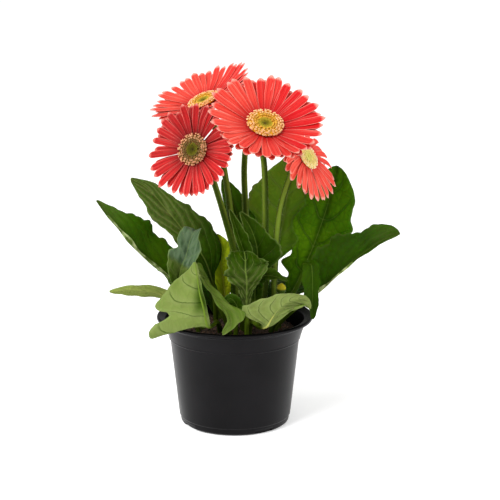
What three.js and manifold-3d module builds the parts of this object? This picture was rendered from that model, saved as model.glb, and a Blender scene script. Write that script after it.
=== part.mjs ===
// A gerbera daisy in a black plastic nursery pot, in millimetres, +Z up.
// The origin is the middle of the pot's underside, and -Y is the plant's front.
// Each leaf, flower stalk, ray ring, floret ring and eye is a solid of its own.

import * as THREE from "three";
import { mergeVertices } from "three/addons/utils/BufferGeometryUtils.js";
import Module from "manifold-3d";

const wasm = await Module();
wasm.setup();

// ---------------------------------------------------------------- driving dimensions

const GAP = 0.3; // clearance between neighbouring solids
const POT = {
  rim: 65, // outer radius of the lip
  height: 92,
  wall: 1.6,
  collar: 59.5, // radius under the lip
  shoulder: 54, // radius of the wall under the collar
  collarBottom: 73,
  foot: 45.5,
  footHeight: 6,
  sides: 32,
};
const NOTCH = { count: 4, first: 33, width: 18, height: 3.2, depth: 7 }; // drain notches
const SOIL = { top: 79, crown: 3, foot: 69, bottom: 2.5, sides: 28 }; // edge, swell, depth of a stalk's foot
const LEAF = { thick: 0.9, stalk: 2.3, rib: 0.9 }; // blade, radius of a stalk, midrib under the blade
const SCAPE = { foot: 3.0, neck: 2.4, sides: 6 }; // radius of a flower stalk at the soil and at the head

// ---------------------------------------------------------------- helpers

const V = (p) => new THREE.Vector3(...p);
const lerp = THREE.MathUtils.lerp;
const rad = THREE.MathUtils.degToRad;
const smooth = (x, a, b) => THREE.MathUtils.smoothstep(x, a, b);

// Triangles of a four-sided patch, seen anticlockwise from outside; flip turns its diagonal.
const patch = (a, b, c, d, flip = false) => (flip ? [b, c, d, b, d, a] : [a, b, c, a, c, d]);

// Patches between rings of points. The diagonals of the lower half of a ring mirror those of its
// upper half.
function skin(rings) {
  const n = rings[0].length;
  const out = [];
  for (let i = 0; i + 1 < rings.length; i++)
    for (let j = 0; j < n; j++) {
      const [p, q] = [rings[i], rings[i + 1]];
      const next = (j + 1) % n;
      out.push(...patch(p[j], p[next], q[next], q[j], j >= n / 2 && next > 0));
    }
  return out;
}

// A cap over a ring, as a strip from its first side to its far side.
function cap(ring) {
  const n = ring.length;
  const out = [];
  for (let j = 0; j < n / 2 - 1; j++)
    out.push(...patch(ring[j], ring[j + 1], ring[n - 2 - j], ring[n - 1 - j]));
  return out;
}

function geometryFrom(points) {
  const g = new THREE.BufferGeometry().setFromPoints(points);
  g.computeVertexNormals();
  return g;
}

const loft = (rings) =>
  geometryFrom([...cap(rings[0].toReversed()), ...skin(rings), ...cap(rings.at(-1))]);

function solid(geometry) {
  const bare = geometry.clone();
  bare.deleteAttribute("normal");
  bare.deleteAttribute("uv");
  const merged = mergeVertices(bare, 1e-3);
  return new wasm.Manifold(
    new wasm.Mesh({
      numProp: 3,
      vertProperties: merged.attributes.position.array,
      triVerts: new Uint32Array(merged.index.array),
    }),
  );
}

function geometryOf(manifold) {
  const m = manifold.getMesh();
  const g = new THREE.BufferGeometry();
  g.setAttribute("position", new THREE.BufferAttribute(m.vertProperties, 3));
  g.setIndex(new THREE.BufferAttribute(m.triVerts, 1));
  return g;
}

const material = (color, roughness) =>
  new THREE.MeshStandardMaterial({ color, roughness, metalness: 0, flatShading: true });
const MATERIALS = {
  pot: material(0x1d1c1f, 0.45),
  soil: material(0x2a1c12, 0.95),
  leaf: material(0x3f6b1c, 0.5),
  pale: material(0x8fae55, 0.55),
  yellowing: material(0xa3b53a, 0.55),
  scape: material(0x56741f, 0.5),
  ray: material(0xf2453c, 0.5),
  floret: material(0xe2b05a, 0.7),
  eye: material(0x9aa83c, 0.7),
};

const plant = new THREE.Group();
function add(name, geometry, materialName, parent = plant) {
  const mesh = new THREE.Mesh(geometry, MATERIALS[materialName]);
  mesh.name = name;
  parent.add(mesh);
  return mesh;
}

// ---------------------------------------------------------------- pot

// Half-section of the shell: up the outside, over the rolled lip and down the inside.
function potProfile() {
  const { rim, height, wall, collar, shoulder, collarBottom, foot, footHeight } = POT;
  const outside = [
    [0, 0],
    [foot - 2.5, 0],
    [foot, 1.8],
    [foot + 0.4, footHeight],
    [foot + 1.2, footHeight + 0.8],
    [shoulder, collarBottom - 0.6],
    [shoulder + 1.1, collarBottom],
    [shoulder + 1.1, collarBottom + 1.2],
    [collar - 0.4, height - 5.5],
    [collar + 3, height - 4],
    [rim, height - 3],
    [rim, height - 1],
    [rim - 1.4, height],
  ];
  const inside = [
    [collar - wall, height - 2.2],
    [shoulder - wall + 0.6, collarBottom],
    [foot - wall, footHeight],
    [foot - wall - 2.5, wall + 0.6],
    [0, wall + 0.6],
  ];
  return [...outside, ...inside].map((p) => new THREE.Vector2(...p));
}

function potGeometry() {
  let shell = solid(new THREE.LatheGeometry(potProfile(), POT.sides).rotateX(Math.PI / 2));
  for (let i = 0; i < NOTCH.count; i++) {
    const tool = new THREE.BoxGeometry(NOTCH.width, 2 * NOTCH.depth, 2 * NOTCH.height);
    tool.translate(0, -POT.foot, 0);
    tool.rotateZ(rad(NOTCH.first + (360 / NOTCH.count) * i));
    shell = shell.subtract(solid(tool));
  }
  return geometryOf(shell);
}

// ---------------------------------------------------------------- leaves

// root: where the stalk stands in the soil, x and y
// way: points that the midrib passes on its way to the tip
// stalk: share of the way that is bare stalk
// left, right: half-breadths of the blade at even steps from its foot, seen with the tip up
// up: where the upper face looks, at the foot and at the tip
// fold: how far the left and right halves lift from flat, in degrees
// sweep: how far the margin leans towards the tip, at the foot and at the tip of the blade, and skew: how
// much more so on the right; ruffle, waves: height and number of the margin's waves
// blade: number of steps along the blade
const LEAVES = [
  {
    name: "leaf_left_low",
    root: [-24, 2],
    way: [
      [-36, 0, 100], [-48, -2, 117], [-60, -4, 131],
      [-78, -10, 148], [-95, -12, 169], [-113, -4, 189],
    ],
    stalk: 0.3,
    left: [8, 6, 5, 6, 4, 4, 4, 3],
    right: [10, 21, 20, 20, 22, 20, 13, 7],
    up: [[0.3, -0.8, 0.4], [0.3, -0.8, 0.4]],
    fold: [44, 4],
  },
  {
    name: "leaf_left_high",
    root: [-16, 10],
    way: [[-18, 8, 112], [-25, 6, 137], [-40, 4, 159], [-57, 0, 182], [-72, -4, 200], [-84, -8, 208]],
    stalk: 0.33,
    left: [5, 9, 11, 14, 14, 18, 15, 11],
    right: [12, 19, 20, 18, 17, 12, 9, 7],
    up: [[0.3, -0.8, 0.4], [0.3, -0.8, 0.5]],
    fold: [14, 6],
  },
  {
    name: "leaf_left_blue",
    root: [-26, -8],
    way: [
      [-38, -12, 100], [-45, -15, 117], [-44, -20, 134], [-39, -24, 148],
      [-36, -26, 160], [-33, -24, 167], [-31, -16, 167],
    ],
    stalk: 0.44,
    left: [4, 6, 10, 13, 13, 9, 10, 8],
    right: [4, 6, 9, 12, 14, 13, 11, 9],
    up: [[-0.1, -0.9, 0.2], [0, -0.3, 0.9]],
    fold: [20, 26],
    ruffle: 2,
  },
  {
    name: "leaf_front_left",
    root: [-12, -18],
    way: [
      [-14, -30, 93], [-18, -50, 95.5], [-21, -62, 99], [-22.5, -66, 106],
      [-24, -67, 115], [-27, -66, 127], [-29, -62, 139], [-31, -55, 149],
    ],
    stalk: 0.53,
    left: [2, 3, 3, 3, 3, 3, 3, 3, 3, 2, 2, 2],
    right: [19, 49, 44, 29, 30, 42, 34, 27, 20, 14, 9, 4],
    up: [[0, 0.9, 0.4], [0, 0.95, 0.1]],
    fold: [30, 14],
    sweep: [-0.32, 0.6],
    material: "pale",
    blade: 12,
  },
  {
    name: "leaf_front_mid",
    root: [-4, -24],
    way: [
      [-12, -27, 106], [-24, -32, 130], [-29, -37, 138], [-22, -45, 128],
      [-13, -53, 118], [-5, -60, 110], [-3, -64, 102], [-9, -67, 94],
    ],
    stalk: 0.42,
    left: [3, 5, 6, 6, 5, 9, 9, 5],
    right: [3, 5, 7, 8, 9, 10, 8, 5],
    up: [[0.8, -0.2, 0.5], [0.5, -0.8, 0.3]],
    fold: [12, 44],
    sweep: [0.6, 0.6],
    skew: -0.6,
  },
  {
    name: "leaf_front_right",
    root: [12, -24],
    way: [
      [14, -31, 93], [21, -47, 94], [26, -56, 97],
      [30, -60, 105], [35, -60, 112], [44, -57, 118], [58, -52, 120],
    ],
    stalk: 0.53,
    left: [1, 6, 13, 15, 15, 14, 12, 8],
    right: [3, 15, 24, 19, 12, 9, 5.5, 3.5],
    up: [[0, 0.8, 0.4], [0, 0.9, -0.2]],
    fold: [8, 8],
    sweep: [0.45, 0.45],
    skew: -0.65,
    material: "pale",
  },
  {
    name: "leaf_centre",
    root: [10, -38],
    way: [
      [10, -38, 94], [10, -34, 108], [10, -33, 121],
      [10, -34, 130], [9, -33, 138], [9, -30, 145], [8, -25, 151],
    ],
    stalk: 0.47,
    left: [3, 5, 7, 12, 19, 16, 15, 15],
    right: [3, 4, 6, 10, 15, 21, 14, 8],
    up: [[0, -0.9, 0.3], [0, -0.4, 0.9]],
    fold: [18, 18],
    ruffle: 2.5,
    waves: 4,
  },
  {
    name: "leaf_mid_folded",
    root: [13, -5],
    way: [[16, -7, 110], [19, -9, 139], [18, -10, 153], [13, -11, 168], [5, -12, 181]],
    stalk: 0.42,
    left: [4, 8, 11, 12, 11, 9, 7, 4],
    right: [4, 6, 12, 21, 16, 11, 8, 4],
    up: [[0.1, -0.9, 0.3], [0.1, -0.9, 0.3]],
    fold: [16, 12],
    ruffle: 2,
  },
  {
    name: "leaf_mid_inner",
    root: [6, -15],
    way: [[9, -16, 112], [9, -17, 135], [8, -17, 147], [4, -17, 160], [0, -17, 173], [-4, -16, 184]],
    stalk: 0.5,
    left: [3, 5, 6, 6, 5, 5, 4, 3],
    right: [3, 5, 7, 8, 8, 7, 5, 3],
    up: [[0.1, -0.9, 0.3], [0.1, -0.9, 0.3]],
    fold: [44, 30],
    ruffle: 1.6,
  },
  {
    name: "leaf_back_broad",
    root: [20, 18],
    way: [
      [25, 19, 105], [31, 19, 132], [35, 20, 146], [40, 22, 163], [44, 24, 190], [46, 22, 214], [46, 20, 223],
    ],
    stalk: 0.33,
    left: [4, 8, 14, 26, 31, 27, 18, 11],
    right: [3, 5, 15, 16, 13, 21, 18, 11],
    up: [[0.1, -0.95, 0.2], [0, -0.9, 0.4]],
    fold: [8, 8],
  },
  {
    name: "leaf_back_left",
    root: [4, 20],
    way: [[8, 24, 120], [6, 28, 150], [0, 31, 176], [-10, 34, 200]],
    stalk: 0.26,
    left: [3, 6, 9, 11, 12, 11, 9, 6],
    right: [4, 8, 12, 15, 16, 15, 12, 7],
    up: [[0.1, -0.95, 0.2], [0, -0.9, 0.4]],
    fold: [10, 10],
    blade: 6,
  },
  {
    name: "leaf_right_high",
    root: [30, 9],
    way: [
      [40, 10, 98], [50, 10, 112], [57, 10, 128], [64, 10, 144],
      [74, 12, 172], [79, 14, 189], [85, 19, 214],
    ],
    stalk: 0.25,
    left: [2, 7, 15, 16, 20, 27, 25, 15],
    right: [2, 3, 4.5, 8.5, 18, 27, 22, 12],
    up: [[-0.1, -0.95, 0.3], [-0.1, -0.9, 0.3]],
    fold: [8, 8],
    sweep: [-0.3, 0],
    ruffle: 1.6,
  },
  {
    name: "leaf_right_long",
    root: [34, -8],
    way: [[50, -10, 99], [69, -12, 114], [88, -16, 133], [106, -18, 149], [121, -17, 159], [135, -15, 164]],
    stalk: 0.37,
    left: [12, 24, 27, 26, 25, 17, 15, 12],
    right: [1.5, 1.5, 2, 2, 2.5, 3.5, 4, 4],
    up: [[-0.3, -0.8, 0.4], [-0.3, -0.8, 0.5]],
    fold: [6, 34],
  },
  {
    name: "leaf_right_hanging",
    root: [30, -16],
    way: [
      [42, -18, 102], [52, -21, 122], [59, -27, 140], [62, -33, 142],
      [63, -39, 131], [63, -43, 118], [63, -46, 100],
    ],
    stalk: 0.56,
    left: [2, 4, 6, 6, 6, 5, 5, 4],
    right: [2, 6, 9, 10, 10, 9, 7, 3],
    up: [[0.2, -0.6, 0.6], [0.5, -0.8, 0.2]],
    fold: [12, 12],
  },
  {
    name: "leaf_left_flat",
    root: [-30, -14],
    way: [
      [-41, -18, 98], [-52, -20, 110], [-61, -20, 115],
      [-73, -22, 118], [-87, -23, 119], [-102, -22, 117],
    ],
    stalk: 0.42,
    left: [4, 7, 8, 8, 6, 4],
    right: [4, 9, 13, 13, 11, 7],
    up: [[0, 0.6, 0.7], [0, 0.8, 0.5]],
    fold: [8, 8],
    material: "pale",
    blade: 6,
  },
  {
    name: "leaf_yellow",
    root: [-6, 14],
    way: [[-9, 17, 108], [-11, 18, 125], [-13, 18, 142], [-16, 18, 156]],
    stalk: 0.34,
    left: [3, 6, 7, 6, 6, 5],
    right: [3, 6, 7, 7, 11, 8],
    up: [[0.1, -0.9, 0.2], [0.1, -0.8, 0.5]],
    fold: [15, 15],
    material: "yellowing",
    blade: 6,
  },
  {
    name: "leaf_mid_right",
    root: [20, -15],
    way: [[17, -17, 104], [18, -20, 122], [24, -22, 130], [33, -24, 130], [43, -26, 127]],
    stalk: 0.5,
    left: [3, 6, 7, 7, 6, 3],
    right: [2, 4, 5, 5, 4, 2],
    up: [[0.1, -0.9, 0.3], [0, -0.7, 0.7]],
    fold: [15, 15],
    blade: 6,
  },
  {
    name: "leaf_low_mid",
    root: [1, -34],
    way: [[2, -38, 100], [2, -41, 110], [-3, -42, 116], [-9, -42, 113]],
    stalk: 0.5,
    left: [2, 4, 4, 4, 3, 2],
    right: [2, 4, 5, 4, 3, 2],
    up: [[-0.5, -0.8, 0.2], [-0.1, -0.7, 0.7]],
    fold: [12, 12],
    blade: 6,
  },
  {
    name: "leaf_rear_left",
    root: [-12, 24],
    way: [[-20, 38, 104], [-30, 62, 130], [-38, 88, 142], [-42, 108, 136]],
    stalk: 0.15,
    left: [7, 11, 12, 17, 17, 14, 8],
    right: [7, 11, 12, 16, 17, 14, 8],
    up: [[0, -0.5, 0.9], [0, 0.3, 0.95]],
    fold: [10, 10],
    blade: 7,
  },
  {
    name: "leaf_rear",
    root: [6, 32],
    way: [[8, 46, 108], [12, 74, 134], [15, 98, 144], [16, 118, 138]],
    stalk: 0.15,
    left: [9, 13, 15, 17, 19, 16, 9],
    right: [9, 13, 14, 17, 18, 15, 8],
    up: [[0, -0.5, 0.9], [0, 0.3, 0.95]],
    fold: [10, 10],
    blade: 7,
  },
  {
    name: "leaf_rear_right",
    root: [24, 30],
    way: [[35, 45, 98], [47, 62, 103], [59, 80, 98], [69, 96, 86]],
    stalk: 0.24,
    left: [4, 11, 14, 16, 18, 14, 8],
    right: [4, 10, 13, 16, 17, 14, 8],
    up: [[-0.3, -0.4, 0.9], [0.2, 0.2, 0.95]],
    fold: [10, 10],
    blade: 6,
  },
  {
    name: "leaf_side_left",
    root: [-30, 14],
    way: [[-41, 25, 100], [-50, 41, 113], [-57, 57, 119], [-62, 71, 115]],
    stalk: 0.3,
    left: [3, 9, 11, 12, 14, 11, 6],
    right: [3, 8, 11, 13, 13, 11, 6],
    up: [[0.3, -0.3, 0.9], [-0.2, 0.2, 0.95]],
    fold: [10, 10],
    blade: 7,
  },
  {
    name: "leaf_side_right",
    root: [36, 16],
    way: [[46, 22, 100], [57, 29, 109], [67, 36, 112], [77, 42, 108]],
    stalk: 0.28,
    left: [3, 9, 11, 13, 15, 11, 6],
    right: [3, 8, 11, 13, 13, 11, 6],
    up: [[-0.3, -0.3, 0.9], [0.2, 0.1, 0.95]],
    fold: [10, 10],
    blade: 7,
  },
];

// Half-breadth at share t of the blade, eased between the steps, ending at the tip.
function breadth(t, steps) {
  const at = (i) => (i >= steps.length ? 0.8 : steps[Math.max(i, 0)]);
  const x = Math.min(t, 1) * steps.length;
  const i = Math.floor(x);
  const f = x - i;
  const slopes = [(at(i + 1) - at(i - 1)) / 2, (at(i + 2) - at(i)) / 2];
  const ease = f * f * (3 - 2 * f);
  return (
    lerp(at(i), at(i + 1), ease) +
    slopes[0] * f * (1 - f) * (1 - f) -
    slopes[1] * f * f * (1 - f)
  );
}

// The line of a stalk: straight up out of its hole in the soil, then through the points of its way.
function path(root, way) {
  const feet = [SOIL.foot, SOIL.top - 1, SOIL.top + SOIL.crown].map((z) => [...root, z]);
  return new THREE.CatmullRomCurve3([...feet, ...way].map(V), false, "centripetal");
}

// Steps along a stalk: its foot, the surface of the soil, and evenly from there to its end.
function stalkSteps(curve, end, count) {
  const out = (SOIL.top + SOIL.crown - SOIL.foot) / curve.getLength();
  return [0, ...Array.from({ length: count - 1 }, (_, i) => lerp(out, end, i / (count - 2)))];
}

function leafRings(leaf, across, steps) {
  const { root, way, stalk, blade: along = 8 } = leaf;
  const curve = path(root, way);
  const up = leaf.up.map((p) => V(p).normalize());
  const fold = leaf.fold.map(rad);
  const { sweep = [0.25, 0.25], skew = 0, ruffle = 1.2, waves = 3.5, thick = LEAF.stalk } = leaf;
  const stations = stalkSteps(curve, stalk - 0.05, steps);
  for (let i = 0; i <= along; i++) stations.push(lerp(stalk, 1, i / along));

  return stations.map((s) => {
    const centre = curve.getPointAt(s);
    const tangent = curve.getTangentAt(s);
    const t = Math.max((s - stalk) / (1 - stalk), 0);
    const normal = up[0].clone().lerp(up[1], t);
    normal.addScaledVector(tangent, -normal.dot(tangent)).normalize();
    const sideways = new THREE.Vector3().crossVectors(tangent, normal);
    const blade = smooth(s, stalk - 0.06, stalk);
    const ends = Math.min(4 * t * (1 - t), 1);
    const r = thick * (1 - 0.35 * Math.min(s / stalk, 1)) * (1 - 0.7 * t);
    const skin = (v, below) => {
      const side = v < 0 ? 0 : 1;
      const a = Math.abs(v);
      const w = breadth(t, side ? leaf.right : leaf.left);
      const wave = ruffle * a * a * Math.sin(2 * Math.PI * waves * t + 2 * v) * ends;
      const under = below ? LEAF.thick + LEAF.rib * (1 - a) * (1 - 0.6 * t) : 0;
      return [
        Math.sign(v) * w * a * Math.cos(fold[side]),
        w * a * Math.sin(fold[side]) + wave - under,
        (lerp(...sweep, t) + Math.sign(v) * skew) * a * w,
      ];
    };
    const ring = [];
    for (let k = 0; k < 2 * across; k++) {
      const below = k >= across;
      const j = below ? 2 * across - 1 - k : k;
      const v = (2 * j) / (across - 1) - 1;
      const turn = Math.PI * (1 - (k + 0.5) / across);
      const [x, y, z] = skin(v, below);
      ring.push(
        centre
          .clone()
          .addScaledVector(sideways, lerp(r * Math.cos(turn), x, blade))
          .addScaledVector(normal, lerp(r * Math.sin(turn), y, blade))
          .addScaledVector(tangent, z * blade),
      );
    }
    return ring;
  });
}

// ---------------------------------------------------------------- blooms

// head: middle of the bloom; facing: where it looks; ray, eye: length of its rays and breadth of its disc
// root, way: where the flower stalk stands and the points that it passes
// cup: how far the rays rise from flat, in degrees; droop: how far the tips hang, in millimetres
const BLOOMS = [
  {
    name: "bloom_front",
    head: [24.5, -30, 255.5],
    facing: [0.16, -0.57, 0.8],
    radius: 48,
    disc: 14.6,
    rays: 23,
    width: 4.2,
    cup: 15,
    droop: 0,
    root: [22, 2],
    way: [[25, 3, 120], [25.5, 3, 163], [24.5, -4, 215]],
  },
  {
    name: "bloom_left",
    head: [-33, -18, 233.4],
    facing: [-0.46, -0.81, 0.36],
    radius: 40.5,
    disc: 13,
    rays: 18,
    width: 3.2,
    cup: 8,
    droop: 1,
    root: [8, -1],
    way: [[8, -4, 115], [0, -5, 146], [-18, 0, 207]],
  },
  {
    name: "bloom_rear_left",
    head: [-26, 48, 263.5],
    facing: [-0.38, -0.25, 0.89],
    radius: 46,
    disc: 13.5,
    rays: 21,
    width: 3.8,
    cup: 16,
    droop: 0,
    root: [2, 11],
    way: [[0, 10, 120], [-4, 10, 180], [-11, 26, 222], [-15, 42, 236]],
  },
  {
    name: "bloom_right",
    head: [59.5, -8, 226],
    facing: [0.73, -0.46, 0.5],
    radius: 33,
    disc: 11,
    rays: 17,
    width: 3.2,
    cup: 4,
    droop: 8,
    root: [36, 0],
    way: [[33, 2, 106], [33.5, 2, 134], [38, 2, 182], [48, 4, 214]],
  },
  {
    name: "bloom_rear",
    head: [22, 46, 250],
    facing: [0.3, 0.4, 0.86],
    radius: 30,
    disc: 11,
    rays: 13,
    width: 3.6,
    cup: 16,
    droop: 0,
    root: [12, 14],
    way: [[10, 15, 120], [9, 18, 173], [8, 23, 214], [10, 30, 229]],
  },
];

// A number from 0 to 1 that stays the same for the same pair.
function draw(i, j) {
  const x = Math.sin(12.9898 * i + 78.233 * j) * 43758.5453;
  return x - Math.floor(x);
}

// Right, up and out of a bloom's face, at its head.
function face(bloom) {
  const out = V(bloom.facing).normalize();
  const right = new THREE.Vector3(-out.y, out.x, 0).normalize();
  const up = new THREE.Vector3().crossVectors(out, right);
  return new THREE.Matrix4().makeBasis(right, up, out).setPosition(...bloom.head);
}

const STEP = 0.35; // lift of a piece of the head over the one that it sits on
const CUP = [[13, 2.5], [11, 4.4], [8.5, 7.4], [6, 9.4], [3.7, 10]]; // green cup: depth, radius

// The collar that the rays grow from, in disc radii, and the levels of its upper row, lower row and foot.
const COLLAR = { inner: 0.36, outer: 0.68, levels: [-1.2, -2.2, -3.35] };

function round(centre, tangent, side, radius, sides) {
  const a = side.clone().addScaledVector(tangent, -side.dot(tangent)).normalize();
  const b = new THREE.Vector3().crossVectors(tangent, a);
  return Array.from({ length: sides }, (_, k) => {
    const turn = (2 * Math.PI * k) / sides;
    return centre
      .clone()
      .addScaledVector(a, radius * Math.cos(turn))
      .addScaledVector(b, radius * Math.sin(turn));
  });
}

// Flower stalk and the green cup that holds the rays, in one solid.
function scapeGeometry(bloom) {
  const m = face(bloom);
  const head = V(bloom.head);
  const side = new THREE.Vector3().setFromMatrixColumn(m, 0);
  const out = new THREE.Vector3().setFromMatrixColumn(m, 2);
  const below = (d) => head.clone().addScaledVector(out, -d);
  const size = bloom.radius / 48;
  const neck = CUP[0][0] * size;
  const curve = path(bloom.root, [...bloom.way, below(neck + 4).toArray(), below(neck).toArray()]);
  const rings = stalkSteps(curve, 0.92, 10).map((s) =>
    round(curve.getPointAt(s), curve.getTangentAt(s), side, lerp(SCAPE.foot, SCAPE.neck, s), SCAPE.sides),
  );
  for (const [depth, radius] of CUP)
    rings.push(round(below(depth * size), out, side, Math.max(radius * size, SCAPE.neck), SCAPE.sides));
  return loft(rings);
}

// One ray: a strap that starts at a side of the collar, broad past its middle and blunt at its tip.
const RAY = [[0.3, 0.6], [0.82, 1], [1, 0.5]]; // share of the length, share of the breadth
function ray(bloom, row, i, start) {
  const key = row * 50 + i + bloom.radius * 7;
  const turn = (Math.PI * (2 * i + 0.5 + row + 0.5 * (draw(key, 1) - 0.5))) / bloom.rays;
  const length = bloom.radius * (1 - 0.05 * row - 0.07 * draw(key, 2));
  const rise = rad(bloom.cup + (row ? -2 : 2.5) + 4 * (draw(key, 3) - 0.5));
  const roll = 0.16 * (draw(key, 4) - 0.5);
  const along = new THREE.Vector3(Math.cos(turn), Math.sin(turn), 0);
  const side = new THREE.Vector3(Math.sin(turn), -Math.cos(turn), roll);
  const root = COLLAR.outer * bloom.disc;
  const level = COLLAR.levels[row] * (bloom.radius / 48);
  const rings = RAY.map(([f, w]) => {
    const reach = lerp(root, length, f);
    const lift = level + (reach - root) * Math.tan(rise) * f ** 0.3;
    return [[-1, 0], [1, 0], [1, 1], [-1, 1]].map(([v, below]) => {
      const p = along.clone().multiplyScalar(reach);
      p.addScaledVector(side, v * bloom.width * w);
      p.z += lift - below * 0.65;
      p.applyMatrix4(face(bloom));
      p.z -= bloom.droop * f * f;
      return p;
    });
  });
  return [...skin([start, ...rings]), ...cap(rings.at(-1))];
}

// The rays and the collar that they grow from. The sides of the collar carry the rays in turn, one in the
// upper row and the next in the lower row, so that the whole ring is one skin.
function raysGeometry(bloom) {
  const k = bloom.radius / 48;
  const m = face(bloom);
  const sides = 2 * bloom.rays;
  const point = (i, radius, level) => {
    const turn = (Math.PI * (i % sides)) / bloom.rays;
    const r = radius * bloom.disc;
    return new THREE.Vector3(r * Math.cos(turn), r * Math.sin(turn), level * k).applyMatrix4(m);
  };
  const [top, middle, bottom] = COLLAR.levels;
  const { inner, outer } = COLLAR;
  const out = [];
  for (let i = 0; i < sides; i++) {
    const ring = (radius, level) => [point(i, radius, level), point(i + 1, radius, level)];
    const [a, b] = ring(outer, top);
    const [c, d] = ring(outer, middle);
    const [e, f] = ring(outer, bottom);
    const [g, h] = ring(inner, top);
    const [u, v] = ring(inner, bottom);
    out.push(...patch(g, a, b, h), ...patch(u, g, h, v), ...patch(e, u, v, f));
    out.push(...(i % 2 ? patch(c, d, b, a) : ray(bloom, 0, i / 2, [b, a, c, d])));
    out.push(...(i % 2 ? ray(bloom, 1, (i - 1) / 2, [d, c, e, f]) : patch(e, f, d, c)));
  }
  return geometryFrom(out);
}

// The ring of florets: a low bank of knobs round the eye, on the collar and leaning out over the rays.
function floretsGeometry(bloom) {
  const k = bloom.radius / 48;
  const m = face(bloom);
  const sides = 26;
  const rise = Math.tan(rad(Math.max(bloom.cup, 0) + 6)) * 0.3 * bloom.disc;
  const bank = [ // share of the disc's radius, height, size of the knobs
    [0.4, -1.1 * k, 0],
    [0.66, -1.1 * k, 0],
    [0.95, -1.1 * k + rise, 0.03],
    [1, 0.6 * k + rise, 0.05],
    [0.86, 2 * k + rise, 0.06],
    [0.62, 1.6 * k + rise, 0.05],
    [0.4, 0.2 * k + rise, 0.02],
  ];
  const ringAt = ([r, z, knob], row) =>
    Array.from({ length: sides }, (_, i) => {
      const turn = (2 * Math.PI * i) / sides;
      const bump = ((i + row) % 2 ? 1 : -1) * knob * bloom.disc;
      const reach = r * bloom.disc + bump * 0.6;
      const [x, y] = [reach * Math.cos(turn), reach * Math.sin(turn)];
      return new THREE.Vector3(x, y, z + bump * 0.5).applyMatrix4(m);
    });
  const rings = bank.map(ringAt);
  return geometryFrom(skin([...rings, rings[0]]));
}

// The eye: the closed florets in the middle.
function eyeGeometry(bloom) {
  const k = bloom.radius / 48;
  const r = 0.4 * bloom.disc - GAP - 0.02 * bloom.disc;
  const foot = Math.min(r, COLLAR.inner * bloom.disc - GAP - 0.1);
  const bottom = (STEP - CUP.at(-1)[0]) * k;
  const profile = [[0, bottom], [foot, bottom], [foot, 0], [r, 1.4 * k], [0.75 * r, 2.6 * k], [0, 2.2 * k]];
  const points = profile.map((p) => new THREE.Vector2(...p));
  return new THREE.LatheGeometry(points, 12).rotateX(Math.PI / 2).applyMatrix4(face(bloom));
}

// ---------------------------------------------------------------- buds

// A bud on a short stalk: closed green bracts, still low among the leaves.
const BUDS = [
  {
    name: "bud_left",
    root: [-4, -14],
    way: [[-3, -17, 92], [0, -22, 101]],
    facing: [0.1, -0.3, 0.95],
    size: 4,
  },
  {
    name: "bud_right",
    root: [26, -8],
    way: [[31, -8, 98], [38, -9, 112]],
    facing: [0.1, -0.2, 0.95],
    size: 4,
  },
];
const BUD = [[0, 0.5], [0.5, 0.95], [1.1, 1], [1.7, 0.8], [2.1, 0.35]]; // height and radius, in sizes

function budGeometry({ root, way, facing, size }) {
  const out = V(facing).normalize();
  const side = new THREE.Vector3(1, 0, 0);
  const curve = path(root, way);
  const rings = stalkSteps(curve, 0.85, 4).map((s) =>
    round(curve.getPointAt(s), curve.getTangentAt(s), side, LEAF.stalk * 0.8, 6),
  );
  const top = V(way.at(-1));
  for (const [rise, radius] of BUD)
    rings.push(round(top.clone().addScaledVector(out, rise * size), out, side, radius * size, 6));
  return loft(rings);
}

// ---------------------------------------------------------------- soil

// The filling of the pot, with a plain hole for every stalk that stands in it.
function soilGeometry() {
  const { foot, footHeight, shoulder, collarBottom, wall } = POT;
  const inside = (z) =>
    lerp(foot, shoulder, (z - footHeight) / (collarBottom - footHeight)) - wall;
  const edge = SOIL.top - SOIL.crown * 0.5;
  const profile = [
    [0, SOIL.bottom],
    [inside(SOIL.bottom) - 2.7, SOIL.bottom],
    [inside(footHeight) - GAP - 0.2, footHeight],
    [inside(collarBottom) - GAP - 0.4, collarBottom - 2],
    [inside(collarBottom) - GAP, edge],
    [44, SOIL.top],
    [26, SOIL.top + SOIL.crown * 0.7],
    [0, SOIL.top + SOIL.crown],
  ].map((p) => new THREE.Vector2(...p));
  let body = solid(new THREE.LatheGeometry(profile, SOIL.sides).rotateX(Math.PI / 2));
  const stalks = [
    ...LEAVES.map((leaf) => [leaf.root, LEAF.stalk]),
    ...BLOOMS.map((bloom) => [bloom.root, SCAPE.foot]),
    ...BUDS.map((bud) => [bud.root, LEAF.stalk]),
  ];
  for (const [[x, y], radius] of stalks) {
    const deep = SOIL.foot - GAP;
    const hole = new THREE.CylinderGeometry(radius + 0.55, radius + 0.55, 30, 8).rotateX(Math.PI / 2);
    body = body.subtract(solid(hole.translate(x, y, deep + 15)));
  }
  return geometryOf(body);
}

// ---------------------------------------------------------------- build

add("pot", potGeometry(), "pot");
add("soil", soilGeometry(), "soil");
for (const leaf of LEAVES)
  add(leaf.name, loft(leafRings(leaf, 5, 4)), leaf.material ?? "leaf");
for (const bloom of BLOOMS) {
  add(bloom.name + "_scape", scapeGeometry(bloom), "scape");
  add(bloom.name + "_rays", raysGeometry(bloom), "ray");
  add(bloom.name + "_florets", floretsGeometry(bloom), "floret");
  add(bloom.name + "_eye", eyeGeometry(bloom), "eye");
}
for (const bud of BUDS) add(bud.name, budGeometry(bud), "scape");

export default plant;
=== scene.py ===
# %% [markdown]
# # A gerbera daisy in a nursery pot
#
# This lesson dresses a plain solid model of a potted plant. The solids give every piece its place and its
# size. Each step makes the fine surface of one kind of piece as a formula, in millimetres, and gives it a
# finish. All shapes are worked out with numpy as whole arrays, because a leaf or a petal is easier to
# describe by a formula than to push into shape by hand.

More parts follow.
